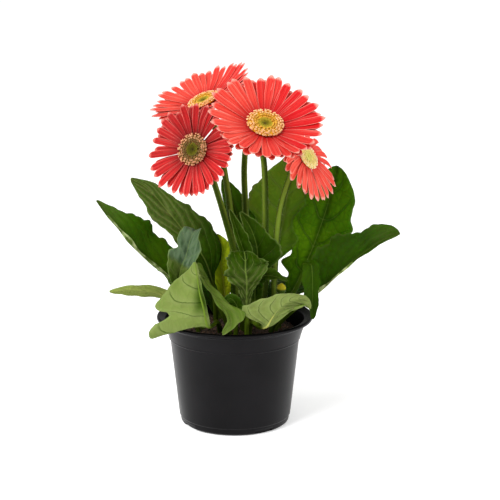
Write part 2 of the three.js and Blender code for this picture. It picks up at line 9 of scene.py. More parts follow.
import bpy
import numpy as np
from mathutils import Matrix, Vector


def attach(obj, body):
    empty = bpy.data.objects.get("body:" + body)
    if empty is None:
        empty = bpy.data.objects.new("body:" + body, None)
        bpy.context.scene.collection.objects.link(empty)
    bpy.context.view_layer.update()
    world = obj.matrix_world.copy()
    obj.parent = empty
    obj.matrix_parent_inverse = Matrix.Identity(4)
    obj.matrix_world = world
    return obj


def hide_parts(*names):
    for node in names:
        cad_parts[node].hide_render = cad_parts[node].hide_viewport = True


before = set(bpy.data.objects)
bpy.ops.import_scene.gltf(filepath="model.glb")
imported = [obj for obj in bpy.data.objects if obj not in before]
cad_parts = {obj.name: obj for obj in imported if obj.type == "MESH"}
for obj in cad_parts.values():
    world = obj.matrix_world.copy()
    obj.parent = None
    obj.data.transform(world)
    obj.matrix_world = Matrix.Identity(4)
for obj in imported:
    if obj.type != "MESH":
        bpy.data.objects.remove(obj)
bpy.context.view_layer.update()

# %% [markdown]
# ## Surfaces from grids
#
# Nearly everything on a plant is a tube that widens or flattens on its way: a stalk, a leaf, a petal. So
# one helper joins rings of points into a closed skin, and another puts the skin into a mesh. The skin could
# also come from a modelled mesh with modifiers, but rings keep the formula and the faces together.

# %% Helpers for shapes
MM = 0.001
UP = np.array([0, 0, 1])


def unit(v):
    """Vectors divided by their lengths, along the last axis."""
    return v / np.linalg.norm(v, axis=-1, keepdims=True)


def smooth(x, low, high):
    """0 below low, 1 above high, and 3x^2 - 2x^3 of the way between."""
    x = np.clip((x - low) / (high - low), 0, 1)
    return x * x * (3 - 2 * x)


def lerp(a, b, x):
    """a + (b - a) x."""
    return a + (b - a) * x


def circle(around):
    """Angles of equal steps round a circle."""
    return np.linspace(0, 2 * np.pi, around, endpoint=False)


def draw(i, j):
    """A number from 0 to 1 that looks random but stays the same: the fraction of a large sine."""
    return np.modf(np.abs(np.sin(12.9898 * i + 78.233 * j)) * 43758.5453)[0]


def stray(i, j):
    """The same number less a half, from -0.5 to 0.5, for what may be more or less than usual."""
    return draw(i, j) - 0.5


def both_faces(across):
    """v from -1 to 1 for points that run across a flat tube and back below, and whether one lies below."""
    k = np.arange(2 * across)
    below = k >= across
    return 2 * np.where(below, 2 * across - 1 - k, k) / (across - 1) - 1, below


def tube_faces(rings, around):
    """Quads between neighbouring rings of a closed tube, and a strip of quads over each end.

    Ring i has the points i * around and on. An end is closed by joining its first side to its far side.
    """
    i, j = np.meshgrid(np.arange(rings - 1), np.arange(around), indexing="ij")
    k = (j + 1) % around
    walls = np.stack([i * around + j, i * around + k, (i + 1) * around + k, (i + 1) * around + j], -1)
    j = np.arange(around // 2 - 1)
    strip = np.stack([j, j + 1, around - 2 - j, around - 1 - j], -1)
    return np.vstack([walls.reshape(-1, 4), strip[:, ::-1], strip + (rings - 1) * around])


def repeat_faces(faces, points, copies):
    """The same faces for each of several equal sets of points."""
    return (faces[None] + (np.arange(copies) * points)[:, None, None]).reshape(-1, faces.shape[1])


def tubes(points):
    """Faces of many equal closed tubes, whose points are tubes x rings x points round a ring."""
    count, rings, around = points.shape[:3]
    return repeat_faces(tube_faces(rings, around), rings * around, count)


def spread(points, *parts):
    """A number for each point, or a vector where there are more parts, spread over the points' grid."""
    parts = [np.broadcast_to(part, points.shape[:-1]) for part in parts]
    return np.stack(parts, -1).reshape(-1, len(parts)).squeeze()


def make_piece(name, points, faces, material, values=None, node=None):
    """A smooth mesh from points in millimetres and arrays of faces, with a number or vector a point."""
    points = np.asarray(points, float).reshape(-1, 3)
    faces = sum((part.tolist() for part in (faces if isinstance(faces, list) else [faces])), [])
    mesh = bpy.data.meshes.new(name)
    mesh.from_pydata((points * MM).tolist(), [], faces)
    for key, value in (values or {}).items():
        value = np.asarray(value, np.float32)
        kind, field = ("FLOAT_VECTOR", "vector") if value.ndim > 1 else ("FLOAT", "value")
        mesh.attributes.new(key, kind, "POINT").data.foreach_set(field, value.ravel())
    mesh.shade_smooth()
    mesh.materials.append(material)
    piece = bpy.data.objects.new(name, mesh)
    bpy.context.scene.collection.objects.link(piece)
    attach(piece, "root")
    if node:
        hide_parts(*([node] if isinstance(node, str) else node))
    print(f"{name}: {len(points)} points, {len(faces)} faces")
    return piece


# %% [markdown]
# ## Finishes
#
# A finish is a small network of nodes. The class below adds one node at a time and hands back its output,
# so that a finish reads like a sum. Patterns follow the values that each mesh carries, such as the distance
# from a leaf's midrib, and not the camera, so they stay in place from every side.


# %% A small helper for finishes
class Finish:
    """A material under construction. Each method adds a node and returns the socket that it gives."""

    def __init__(self, name, **settings):
        self.material = bpy.data.materials.new(name)
        self.material.use_nodes = True
        self.tree = self.material.node_tree
        self.shader = self.tree.nodes["Principled BSDF"]
        for key, value in settings.items():
            self.shader.inputs[key.replace("_", " ")].default_value = value

    def node(self, kind, inputs, output=0, **options):
        """A node of a kind. A socket in inputs is linked, and any other value is set."""
        node = self.tree.nodes.new("ShaderNode" + kind)
        for key, value in options.items():
            setattr(node, key, value)
        for key, value in inputs.items():
            if isinstance(value, bpy.types.NodeSocket):
                self.tree.links.new(value, node.inputs[key])
            elif value is not None:
                node.inputs[key].default_value = value
        return node.outputs[output]

    def math(self, operation, a, b=None, c=None, clamp=False):
        return self.node("Math", {0: a, 1: b, 2: c}, operation=operation, use_clamp=clamp)

    def times(self, a, b, clamp=False):
        """a b."""
        return self.math("MULTIPLY", a, b, clamp=clamp)

    def line(self, x, slope, start, clamp=False):
        """slope x + start."""
        return self.math("MULTIPLY_ADD", x, slope, start, clamp)

    def size(self, x):
        """x without its sign."""
        return self.math("ABSOLUTE", x)

    def value(self, name):
        """The number that the mesh holds under a name at each of its points."""
        return self.node("Attribute", {}, "Fac", attribute_name=name)

    def vector(self, name):
        """The vector that the mesh holds under a name at each of its points."""
        return self.node("Attribute", {}, "Vector", attribute_name=name)

    def place(self):
        return self.node("TexCoord", {}, "Object")

    def split(self, vector):
        """The three parts of a vector."""
        socket = self.node("SeparateXYZ", {0: vector})
        return socket.node.outputs

    def noise(self, vector, scale, detail=3.0, roughness=0.5):
        inputs = {"Vector": vector, "Scale": scale, "Detail": detail, "Roughness": roughness}
        return self.node("TexNoise", inputs)

    def cells(self, vector, scale):
        """The distance to the nearest edge in a pattern of cells."""
        inputs = {"Vector": vector, "Scale": scale}
        return self.node("TexVoronoi", inputs, "Distance", feature="DISTANCE_TO_EDGE")

    def step(self, x, low, high, start=0.0, end=1.0):
        """A smooth change from start to end while x goes from low to high."""
        inputs = {"Value": x, "From Min": low, "From Max": high, "To Min": start, "To Max": end}
        return self.node("MapRange", inputs, interpolation_type="SMOOTHSTEP")

    def mix(self, share, a, b, blend="MIX"):
        """The colour (1 - share) a + share b, or another blend of the two."""
        a, b = [(*x, 1) if isinstance(x, tuple) else x for x in (a, b)]
        return self.node("Mix", {0: share, 6: a, 7: b}, 2, data_type="RGBA", blend_type=blend)

    def darken(self, share, colour, by):
        """The colour multiplied by another, as far as share says."""
        return self.mix(share, colour, self.mix(1.0, colour, by, "MULTIPLY"))

    def use(self, key, socket):
        """Link a socket to an input of the shader."""
        self.tree.links.new(socket, self.shader.inputs[key])

    def bump(self, height, distance, strength=1.0):
        """Tilt the shading as a relief of this height would, without moving a point."""
        inputs = {"Height": height, "Distance": distance, "Strength": strength}
        self.use("Normal", self.node("Bump", inputs))


# %% [markdown]
# ## Pot
#
# A nursery pot is blown or moulded in thin black plastic: a tapered wall, a collar that flares to a rolled
# lip, and a few notches at the foot that let water out. It is a body of revolution, so it could be spun
# from a profile. Here the profile is carried round the axis by formula, because the notches are then one
# more line: inside their angles the foot is lifted off the ground.

# %% Shape of the pot
POT = dict(rim=65, height=92, wall=1.6, collar=59.5, shoulder=54, step=73, foot=45.5, band=6)
# The notches are placed by angle, in degrees, and go 3 mm deep into the wall.
NOTCH = dict(first=-57, count=4, width=18, height=3.2, depth=3)


def rounded(profile, radius, steps=5):
    """The profile with each inner corner p replaced by a curve.

    The curve is the quadratic Bezier from p - r a to p + r b over p, where a and b are the directions of the
    sides that meet at p, and r is the radius or 0.45 of the shorter side.
    """
    profile = np.array(profile, float)
    before, at, after = profile[:-2], profile[1:-1], profile[2:]
    ways = [before - at, after - at]
    lengths = [np.linalg.norm(w, axis=1, keepdims=True) for w in ways]
    reach = np.minimum(radius, 0.45 * np.minimum(*lengths))
    start, end = [at + w / l * reach for w, l in zip(ways, lengths)]
    x = np.linspace(0, 1, steps)[None, :, None]
    arcs = start[:, None] * (1 - x) ** 2 + 2 * at[:, None] * x * (1 - x) + end[:, None] * x**2
    return np.vstack([profile[:1], arcs.reshape(-1, 2), profile[-1:]])


def revolve(profile, angles):
    """Points (r cos a, r sin a, z) for each (r, z) of the profile, at each angle a."""
    r, z = profile[:, :1], profile[:, 1:]
    return np.stack([r * np.cos(angles), r * np.sin(angles), z + 0 * angles], -1)


def pot_points():
    """The wall's profile from the middle of the underside round the lip and back, carried round the axis."""
    p = POT
    profile = [
        (0.01, 0.6),
        (p["foot"] - 9, 0.6),
        (p["foot"] - 7.5, 0),
        (p["foot"] - 2.5, 0),
        (p["foot"], 1.8),
        (p["foot"] + 0.4, p["band"]),
        (p["foot"] + 1.2, p["band"] + 0.8),
        (p["shoulder"], p["step"] - 0.6),
        (p["shoulder"] + 1.1, p["step"]),
        (p["shoulder"] + 1.1, p["step"] + 1.2),
        (p["collar"] - 0.4, p["height"] - 5.5),
        (p["collar"] + 3, p["height"] - 4),
        (p["rim"], p["height"] - 3),
        (p["rim"], p["height"] - 1),
        (p["rim"] - 1.4, p["height"]),
        (p["collar"] - p["wall"], p["height"] - 2.2),
        (p["shoulder"] - p["wall"] + 0.6, p["step"]),
        (p["foot"] - p["wall"], p["band"]),
        (p["foot"] - p["wall"] - 2.5, p["wall"] + 0.6),
        (0.01, p["wall"] + 0.6),
    ]
    centres = NOTCH["first"] + np.arange(NOTCH["count"]) * 360 / NOTCH["count"]
    half = np.degrees(np.arcsin(NOTCH["width"] / 2 / p["foot"]))
    edges = [c + side * (half + d) for c in centres for side in (-1, 1) for d in (-0.2, 0.2)]
    angles = np.sort(np.mod(np.concatenate([np.arange(0, 360, 2.5), edges]), 360))
    points = revolve(rounded(profile, 1.1), np.radians(angles))
    off = np.abs(np.mod(angles[:, None] - centres + 180, 360) - 180).min(1)
    radius = np.hypot(points[..., 0], points[..., 1])
    cut = (off[None] < half) & (radius > p["foot"] - NOTCH["depth"])
    outside = np.arange(len(points))[:, None] < len(points) * 0.6
    points[..., 2] = np.where(cut & outside, np.maximum(points[..., 2], NOTCH["height"]), points[..., 2])
    return points


def satin_black():
    """Nearly black, with painted shade on the inner wall: darker there and with less shine."""
    f = Finish("Black plastic", Specular_IOR_Level=0.1)
    soft = f.noise(f.place(), 26, 4)
    colour = f.mix(f.step(soft, 0.3, 0.75), (0.0024, 0.0021, 0.0026), (0.0048, 0.0043, 0.0052))
    # Painted shade on the inner wall: its colour is darkened and its shine lowered.
    f.use("Base Color", f.darken(f.value("inside"), colour, (0.3, 0.3, 0.3)))
    f.use("Specular IOR Level", f.step(f.value("inside"), 0, 1, 0.1, 0.02))
    f.use("Roughness", f.step(soft, 0.25, 0.8, 0.28, 0.38))
    f.bump(f.noise(f.place(), 900, 2), 0.00012, 0.35)
    return f.material


pot = pot_points()
# The shares of the profile where the outside turns into the inner wall, with its painted shade.
INNER_WALL = (0.66, 0.7)
way_in = np.arange(len(pot))[:, None] / len(pot)
inside = {"inside": spread(pot, smooth(way_in, *INNER_WALL))}
make_piece("pot_shell", pot, tube_faces(*pot.shape[:2]), satin_black(), inside, "pot")

# %% [markdown]
# ## Soil
#
# Potting soil is dark peat with bits of bark and a few pale fibres. A bumpy disc alone looks like rubber,
# so the disc gets loose crumbs on it. Each crumb is the same eight-sided lump, squeezed and turned by
# random numbers with a fixed seed.

# %% Shape of the soil
SOIL = dict(top=79, crown=3, foot=69, bottom=2.5, radius=52)
rng = np.random.default_rng(11)


def bumps(x, y):
    """The height of the soil's unevenness: four crossing waves, 4 to 17 mm long."""
    return (
        0.5 * np.sin(0.37 * x + 1.3) * np.cos(0.41 * y)
        + 0.35 * np.sin(0.9 * y + 0.6 * x)
        + 0.3 * np.cos(1.25 * x - 0.7 * y)
        + 0.2 * np.sin(1.1 * x + 1.3 * y + 2)
    )


def surface_of_soil(r):
    """Height of the soil at distance r from the middle, from the crown down to the wall."""
    return np.interp(r, [0, 26, 44, 53], SOIL["top"] + SOIL["crown"] * np.array([1, 0.7, 0, -0.5]))


def soil_points():
    """The filling as a body of revolution, whose top has the bumps, from its foot up to the middle."""
    edge, bottom = SOIL["radius"], SOIL["bottom"]
    across = np.concatenate([np.linspace(0.01, edge - 0.4, 60), [edge - 0.1, edge, 43.4, 41, 0.01]])
    height = np.concatenate([surface_of_soil(across[:60]), [77, 71, 6, bottom, bottom]])
    points = revolve(np.stack([across, height], 1)[::-1], circle(120))
    lift = smooth(points[..., 2], 76, 77.4) * smooth(edge - across[::-1], 0.2, 4)[:, None]
    points[..., 2] += bumps(points[..., 0], points[..., 1]) * lift
    return points


def crumbs(count):
    """Octahedra with uneven corners, squeezed on three axes, turned and dropped on the soil."""
    corners = np.array([[1, 0, 0], [0, 1, 0], [-1, 0, 0], [0, -1, 0], [0, 0, 1], [0, 0, -1]], float)
    faces = [[0, 1, 4], [1, 2, 4], [2, 3, 4], [3, 0, 4], [1, 0, 5], [2, 1, 5], [3, 2, 5], [0, 3, 5]]
    size = rng.gamma(3.0, 0.33, count)[:, None] + 0.35
    shape = corners * (1 + 0.35 * rng.uniform(-1, 1, (count, 6, 1)))
    shape = shape * (size * rng.uniform([0.8, 0.5, 0.35], [1.9, 1.1, 0.8], (count, 3)))[:, None]
    a, b = rng.uniform(0, 2 * np.pi, count), rng.uniform(-0.5, 0.5, count)
    zero, one = np.zeros(count), np.ones(count)
    turn = np.array([[np.cos(a), -np.sin(a), zero], [np.sin(a), np.cos(a), zero], [zero, zero, one]])
    tilt = np.array([[np.cos(b), zero, np.sin(b)], [zero, one, zero], [-np.sin(b), zero, np.cos(b)]])
    shape = np.einsum("ijn,jkn,npk->npi", turn, tilt, shape)
    r = (SOIL["radius"] - 2) * np.sqrt(rng.uniform(0, 1, count))
    way = rng.uniform(0, 2 * np.pi, count)
    x, y = r * np.cos(way), r * np.sin(way)
    place = np.stack([x, y, surface_of_soil(r) + bumps(x, y) * smooth(SOIL["radius"] - r, 0.2, 4)], 1)
    faces = repeat_faces(np.array(faces), 6, count)
    return shape + place[:, None], faces, np.repeat(rng.uniform(0, 1, count), 6)


def peat():
    """Dark brown grain, and a lighter brown on some of the crumbs."""
    f = Finish("Peat and bark", Roughness=0.9, Specular_IOR_Level=0.25)
    grain = f.noise(f.place(), 420, 5, 0.6)
    dark = f.mix(f.step(grain, 0.3, 0.7), (0.012, 0.007, 0.004), (0.05, 0.03, 0.018))
    f.use("Base Color", f.mix(f.step(f.value("crumb"), 0.55, 1, 0, 0.8), dark, (0.11, 0.062, 0.032)))
    f.bump(grain, 0.0011, 0.8)
    return f.material


soil = soil_points()
earth = peat()
soil_faces = tube_faces(*soil.shape[:2])
make_piece("soil_bed", soil, soil_faces, earth, {"crumb": spread(soil, 0.0)}, "soil")
crumb_points, crumb_faces, tone = crumbs(count=1500)
make_piece("soil_crumbs", crumb_points, crumb_faces, earth, {"crumb": tone})

# %% [markdown]
# ## Leaves
#
# A gerbera leaf is a long lobed blade on a stalk that rises from the crown of the plant. Its midrib and side
# veins stand out below and lie in furrows above, with the blade swelling between them like a quilt. It
# could be cut from a plane and bent, but then the stalk and blade would not flow into one another. So each
# leaf is a tube: round at the stalk, and pressed flat and wide for the blade.
#
# A row of the table says where the stalk stands, the points that the midrib passes, how much of that way is
# stalk, the half-breadths of the blade on each side, where the upper face looks at the foot and at the tip,
# and how far each half folds up.
#
# Some rows say more. sweep carries the margin towards the tip, skew carries it on to the tip on the right
# and back on the left, and ruffle, waves and teeth shape it. veins counts the side veins, lean carries them
# to the tip and bold draws them strongly. puff shades the swelling between them, and edge makes the margin
# pale. tone is a lighter green, or below 0 painted shade on the stalk. grey_sheen is a painted grey sheen,
# or below 0 a fresher green, with the share of the blade where it starts and the share over which it grows.
# dim is painted shade on each half. roll is the side, the end and the width of a strip that rolls over and
# shows its pale lower face.

# %% Table of leaves
LEAVES = [
    dict(name="leaf_left_low", root=(-24, 2), stalk=0.3, fold=(44, 4),
         up=[(0.3, -0.8, 0.4), (0.3, -0.8, 0.4)],
         way=[(-36, 0, 100), (-48, -2, 117), (-60, -4, 131), (-78, -10, 148), (-95, -12, 169),
              (-113, -4, 189)],
         left=[8, 6, 5, 6, 4, 4, 4, 3],
         right=[10, 16, 21, 21, 20, 21, 20, 22, 23, 22.5, 20.5, 17, 13, 10, 7, 4],
         roll=(-1, 0.85, 1.7), veins=6, lean=0.5, bold=0.12, grey_sheen=(0.5, 0.6)),
    dict(name="leaf_left_high", root=(-16, 10), stalk=0.33, fold=(14, 6),
         up=[(0.3, -0.8, 0.4), (0.3, -0.8, 0.5)],
         way=[(-18, 8, 112), (-25, 6, 137), (-40, 4, 159), (-57, 0, 182), (-72, -4, 200), (-84, -8, 208)],
         left=[5, 9, 11, 14, 14, 18, 15, 11],
         right=[4, 13, 18, 20.5, 21.5, 21.5, 20.5, 18, 17, 14, 12, 10.5, 9, 7.5, 5, 3],
         veins=5, lean=0.5, bold=0.65, puff=0.3, grey_sheen=(0.75, 0.1), teeth=0.7),
    dict(name="leaf_left_blue", root=(-26, -8), stalk=0.44, fold=(20, 26),
         up=[(-0.1, -0.9, 0.2), (0, -0.3, 0.9)],
         way=[(-38, -12, 100), (-45, -15, 117), (-44, -20, 134), (-39, -24, 148), (-36, -26, 160),
              (-33, -24, 167), (-31, -16, 167)],
         left=[4, 5, 6, 8, 10, 12, 13, 13.5, 13, 10, 9, 9.5, 10, 9.5, 9, 7],
         right=[4, 5, 6, 7.5, 9, 10.5, 12, 13.5, 15, 15.5, 15.5, 15, 13, 9.5, 7, 5],
         ruffle=2, sweep=(0.25, 0.25, 0.25, 0.25, 0.25, 0.25, 0.25, 0.15, -0.1), grey_sheen=(1, 0.02), edge=0.5,
         bold=0.35, teeth=0.6),
    dict(name="leaf_front_left", root=(-12, -18), stalk=0.53, fold=(30, 14),
         up=[(0, 0.9, 0.4), (0, 0.95, 0.1)],
         way=[(-14, -30, 93), (-18, -50, 95.5), (-21, -62, 99), (-22.5, -66, 106), (-24, -67, 115),
              (-27, -66, 127), (-29, -62, 139), (-31, -55, 149)],
         left=[2, 3, 3, 3, 3, 3, 3, 3, 3, 2, 2, 2],
         right=[18, 38, 50, 51, 44, 36, 31, 30, 32, 38, 41, 38, 34, 30, 26.5, 22.5, 19.5, 16.5, 14, 11.5, 9,
                6.5, 4.5, 2.5],
         sweep=(-0.38, -0.42, -0.12, -0.08, -0.02, 0.06, 0.14, 0.22, 0.3, 0.37, 0.45, 0.52, 0.6),
         slot="leaf_pale", veins=5, bold=0.5, teeth=0.4),
    dict(name="leaf_front_mid", root=(-4, -24), stalk=0.42, fold=(12, 26),
         up=[(0.8, -0.2, 0.5), (0.5, -0.8, 0.3)],
         way=[(-12, -27, 106), (-24, -32, 130), (-29, -37, 138), (-22, -45, 128), (-13, -53, 118),
              (-5, -60, 110), (-3, -64, 102), (-9, -67, 94)],
         left=[3, 4, 5, 5.5, 6, 6, 6, 5.5, 6, 7.5, 9, 10.5, 9.5, 5.5, 3.5, 2.5],
         right=[3, 5, 7, 8, 9, 10, 8, 5],
         sweep=(0.6, 0.6), skew=-0.6, tone=0.9, grey_sheen=(0.8, -0.3), teeth=0.5),
    dict(name="leaf_front_right", root=(12, -24), stalk=0.53, fold=(8, 8),
         up=[(0, 0.8, 0.4), (0, 0.9, -0.2)],
         way=[(14, -31, 93), (21, -47, 94), (26, -56, 97), (30, -60, 105), (35, -60, 112), (44, -57, 118),
              (58, -52, 120)],
         left=[1, 9, 17, 17, 15, 14, 12, 8],
         right=[3, 15, 24, 19, 12, 9, 5.5, 3.5],
         sweep=(0.45, 0.45), skew=-0.65, slot="leaf_pale", tone=1, lean=0.34, bold=0.9, teeth=0.5),
    dict(name="leaf_centre", root=(10, -38), stalk=0.47, fold=(18, 18),
         up=[(0, -0.9, 0.3), (0, -0.4, 0.9)],
         way=[(10, -38, 94), (10, -34, 108), (10, -33, 121), (10, -34, 130), (9, -33, 138), (9, -30, 145),
              (8, -25, 151)],
         left=[3, 4, 5, 6, 7, 9, 12, 16, 19, 18, 16, 16, 15.5, 15, 13.5, 9],
         right=[3, 3.5, 4, 5, 6, 8, 10, 12.5, 15, 18.5, 21, 18, 14, 11, 8, 5],
         ruffle=2.5, waves=4, edge=0.6, lean=0.45, bold=1, veins=5, teeth=1.5, dim=(0, 0.3),
         grey_sheen=(0.75, 0.85, -0.5)),
    dict(name="leaf_mid_folded", root=(13, -5), stalk=0.42, fold=(16, 12),
         up=[(0.1, -0.9, 0.3), (0.1, -0.9, 0.3)],
         way=[(16, -7, 110), (19, -9, 139), (18, -10, 153), (13, -11, 168), (5, -12, 181)],
         left=[4, 8, 11, 12, 11, 9, 7, 4],
         right=[4, 6, 12, 21, 16, 11, 8, 4],
         ruffle=2, edge=0.8, dim=(0.3, 0.7)),
    dict(name="leaf_mid_inner", root=(6, -15), stalk=0.5, fold=(44, 30),
         up=[(0.1, -0.9, 0.3), (0.1, -0.9, 0.3)],
         way=[(9, -16, 112), (9, -17, 135), (8, -17, 147), (4, -17, 160), (0, -17, 173), (-4, -16, 184)],
         left=[3, 5, 6, 6, 5, 5, 4, 3],
         right=[3, 5, 7, 8, 8, 7, 5, 3],
         ruffle=1.6, edge=0.8, dim=(0.2, 0.6)),
    dict(name="leaf_back_broad", root=(20, 18), stalk=0.33, fold=(8, 8),
         up=[(0.1, -0.95, 0.2), (0, -0.9, 0.4)],
         way=[(25, 19, 105), (31, 19, 132), (35, 20, 146), (40, 22, 163), (44, 24, 190), (46, 22, 214),
              (46, 20, 223)],
         left=[4, 6, 8, 11, 14, 20, 26, 32, 32.5, 33, 30, 26, 22.5, 18, 13, 7.5],
         right=[3, 4, 5, 10, 15, 17, 14, 12, 13, 17, 21, 20, 18, 16, 14, 9],
         tone=1, bold=0.6, puff=0.2, edge=0.5, grey_sheen=(0.2, -0.5), teeth=0.6),
    dict(name="leaf_back_left", root=(4, 20), stalk=0.26, fold=(10, 10),
         up=[(0.1, -0.95, 0.2), (0, -0.9, 0.4)],
         way=[(8, 24, 120), (6, 28, 150), (0, 31, 176), (-10, 34, 200)],
         left=[3, 6, 9, 11, 12, 11, 9, 6],
         right=[4, 8, 12, 15, 16, 15, 12, 7],
         tone=0.3),
    dict(name="leaf_right_high", root=(30, 9), stalk=0.25, fold=(8, 8),
         up=[(-0.1, -0.95, 0.3), (-0.1, -0.9, 0.3)],
         way=[(40, 10, 98), (50, 10, 112), (57, 10, 128), (64, 10, 144), (74, 12, 172), (79, 14, 189),
              (85, 19, 214)],
         left=[2, 6, 10, 10, 19, 15, 16, 14, 22, 25, 22, 19, 20, 18, 14, 9],
         right=[2, 2.5, 3, 3.7, 4.5, 6, 8.5, 13, 18, 23, 26.5, 22.5, 22.5, 21, 17, 11],
         sweep=(-0.3, 0), ruffle=1.6, grey_sheen=(-1, -1), veins=5, lean=0.26, bold=0.2, puff=0.8, teeth=0.5,
         dim=(0, 0.35)),
    dict(name="leaf_right_long", root=(34, -8), stalk=0.37, fold=(6, 34),
         up=[(-0.3, -0.8, 0.4), (-0.3, -0.8, 0.5)],
         way=[(50, -10, 99), (69, -12, 114), (88, -16, 133), (106, -18, 149), (121, -17, 159),
              (135, -15, 164)],
         left=[12, 24, 27, 26, 25, 17, 15, 12],
         right=[1.5, 1.5, 2, 2, 2.5, 3.5, 4, 4],
         dim=(0.5, 0.15), roll=(1, 0.5, 1.7), veins=6, lean=0.55, bold=0.12, grey_sheen=(0.45, 0.6)),
    dict(name="leaf_right_hanging", root=(30, -16), stalk=0.56, fold=(12, 12),
         up=[(0.2, -0.6, 0.6), (0.5, -0.8, 0.2)],
         way=[(42, -18, 102), (52, -21, 122), (59, -27, 140), (62, -33, 142), (63, -39, 131),
              (63, -43, 118), (63, -46, 100)],
         left=[2, 4, 6, 6, 6, 5, 5, 4],
         right=[2, 6, 9, 10, 10, 9, 7, 3],
         dim=(0.4, 0.2), tone=-1, edge=0, bold=0.1),
    dict(name="leaf_left_flat", root=(-30, -14), stalk=0.42, fold=(8, 8),
         up=[(0, 0.6, 0.7), (0, 0.8, 0.5)],
         way=[(-41, -18, 98), (-52, -20, 110), (-61, -20, 115), (-73, -22, 118), (-87, -23, 119),
              (-102, -22, 117)],
         left=[4, 6.5, 7, 6, 4.5, 3],
         right=[4, 9, 13, 13, 11, 7],
         slot="leaf_pale", grey_sheen=(-1, -1), teeth=0.3, tone=0.7, ruffle=0.4, veins=4, lean=0.5),
    dict(name="leaf_yellow", root=(-6, 14), stalk=0.34, fold=(15, 15),
         up=[(0.1, -0.9, 0.2), (0.1, -0.8, 0.5)],
         way=[(-9, 17, 108), (-11, 18, 125), (-13, 18, 142), (-16, 18, 156)],
         left=[3, 6, 7, 6, 6, 5],
         right=[3, 6, 7, 7, 11, 8],
         slot="leaf_yellowing"),
    dict(name="leaf_mid_right", root=(20, -15), stalk=0.5, fold=(15, 15),
         up=[(0.1, -0.9, 0.3), (0, -0.7, 0.7)],
         way=[(17, -17, 104), (18, -20, 122), (24, -22, 130), (33, -24, 130), (43, -26, 127)],
         left=[3, 6, 7, 7, 6, 3],
         right=[6, 6, 5, 5, 4, 2],
         tone=0.1),
    dict(name="leaf_low_mid", root=(1, -34), stalk=0.5, fold=(12, 12),
         up=[(-0.5, -0.8, 0.2), (-0.1, -0.7, 0.7)],
         way=[(2, -38, 100), (2, -41, 110), (-3, -42, 116), (-9, -42, 113)],
         left=[3, 6, 7, 7, 5, 3],
         right=[3, 6, 7, 6, 5, 3]),
    dict(name="leaf_rear_left", root=(-12, 24), stalk=0.15, fold=(10, 10),
         up=[(0, -0.5, 0.9), (0, 0.3, 0.95)],
         way=[(-20, 38, 104), (-30, 62, 130), (-38, 88, 142), (-42, 108, 136)],
         left=[7, 11, 12, 17, 17, 14, 8],
         right=[7, 11, 12, 16, 17, 14, 8]),
    dict(name="leaf_rear", root=(6, 32), stalk=0.15, fold=(10, 10), up=[(0, -0.5, 0.9), (0, 0.3, 0.95)],
         way=[(8, 46, 108), (12, 74, 134), (15, 98, 144), (16, 118, 138)],
         left=[9, 13, 15, 17, 19, 16, 9],
         right=[9, 13, 14, 17, 18, 15, 8],
         tone=0.2),
    dict(name="leaf_rear_right", root=(24, 30), stalk=0.24, fold=(10, 10),
         up=[(-0.3, -0.4, 0.9), (0.2, 0.2, 0.95)],
         way=[(35, 45, 98), (47, 62, 103), (59, 80, 98), (69, 96, 86)],
         left=[4, 11, 14, 16, 18, 14, 8],
         right=[4, 10, 13, 16, 17, 14, 8]),
    dict(name="leaf_side_left", root=(-30, 14), stalk=0.3, fold=(10, 10),
         up=[(0.3, -0.3, 0.9), (-0.2, 0.2, 0.95)],
         way=[(-41, 25, 100), (-50, 41, 113), (-57, 57, 119), (-62, 71, 115)],
         left=[3, 9, 11, 12, 14, 11, 6],
         right=[3, 8, 11, 13, 13, 11, 6],
         tone=0.3),
    dict(name="leaf_side_right", root=(36, 16), stalk=0.28, fold=(10, 10),
         up=[(-0.3, -0.3, 0.9), (0.2, 0.1, 0.95)],
         way=[(46, 22, 100), (57, 29, 109), (67, 36, 112), (77, 42, 108)],
         left=[3, 9, 11, 13, 15, 11, 6],
         right=[3, 8, 11, 13, 13, 11, 6]),
]

# %% [markdown]
# The midrib is a smooth line through the points of its way. A Catmull-Rom spline passes its points, which
# a Bezier curve would need handles for, and the square roots of the distances between the points keep it
# from looping where two of them are close.


# %% The line that a stalk and its midrib follow
def spline(points, x):
    """Centripetal Catmull-Rom: a cubic between each pair of points, with slopes from their neighbours."""
    ends = 2 * points[0] - points[1], 2 * points[-1] - points[-2]
    p = np.vstack([ends[0], points, ends[1]])
    x = np.clip(x, 0, 1) * (len(points) - 1)
    i = np.minimum(x.astype(int), len(points) - 2)
    x = (x - i)[:, None]
    a, b, c, d = (p[i + k] for k in range(4))
    ab, bc, cd = (np.linalg.norm(step, axis=1, keepdims=True) ** 0.5 for step in (b - a, c - b, d - c))
    start = ((b - a) / ab - (c - a) / (ab + bc) + (c - b) / bc) * bc
    end = ((c - b) / bc - (d - b) / (bc + cd) + (d - c) / cd) * bc
    return b + x * (start + x * (3 * (c - b) - 2 * start - end + x * (2 * (b - c) + start + end)))


def stalk_line(root, way):
    """Points and directions along a stalk by share of its length, and the length.

    The line stands straight in its hole in the soil. Its length is the sum of 200 short chords.
    """
    feet = [(*root, z) for z in (SOIL["foot"], SOIL["top"] - 1, SOIL["top"] + SOIL["crown"])]
    points = np.array(feet + list(way), float)
    x = np.linspace(0, 1, 201)
    chords = np.linalg.norm(np.diff(spline(points, x), axis=0), axis=1)
    lengths = np.concatenate([[0], np.cumsum(chords)])

    def at(share):
        u = np.interp(np.asarray(share) * lengths[-1], lengths, x)
        ahead, behind = spline(points, u + 1e-4), spline(points, u - 1e-4)
        return spline(points, u), unit(ahead - behind)

    return at, lengths[-1]


# %% [markdown]
# The half-breadths of a leaf are given at even steps. Between them the margin eases from one to the next,
# and a finer wave and small teeth break the line up, as on the real leaf. Side veins leave the midrib at
# even steps too and lean towards the tip. The blade swells between them, and its margin ruffles.

# %% Surface of a leaf
# In millimetres, the blade's thickness, the midrib's depth under it and the stalk's radius at the soil. JOIN
# is the share of the way over which the round stalk turns into the flat blade.
THICK, RIB, STALK, JOIN = 0.34, 1.1, 2.3, 0.06


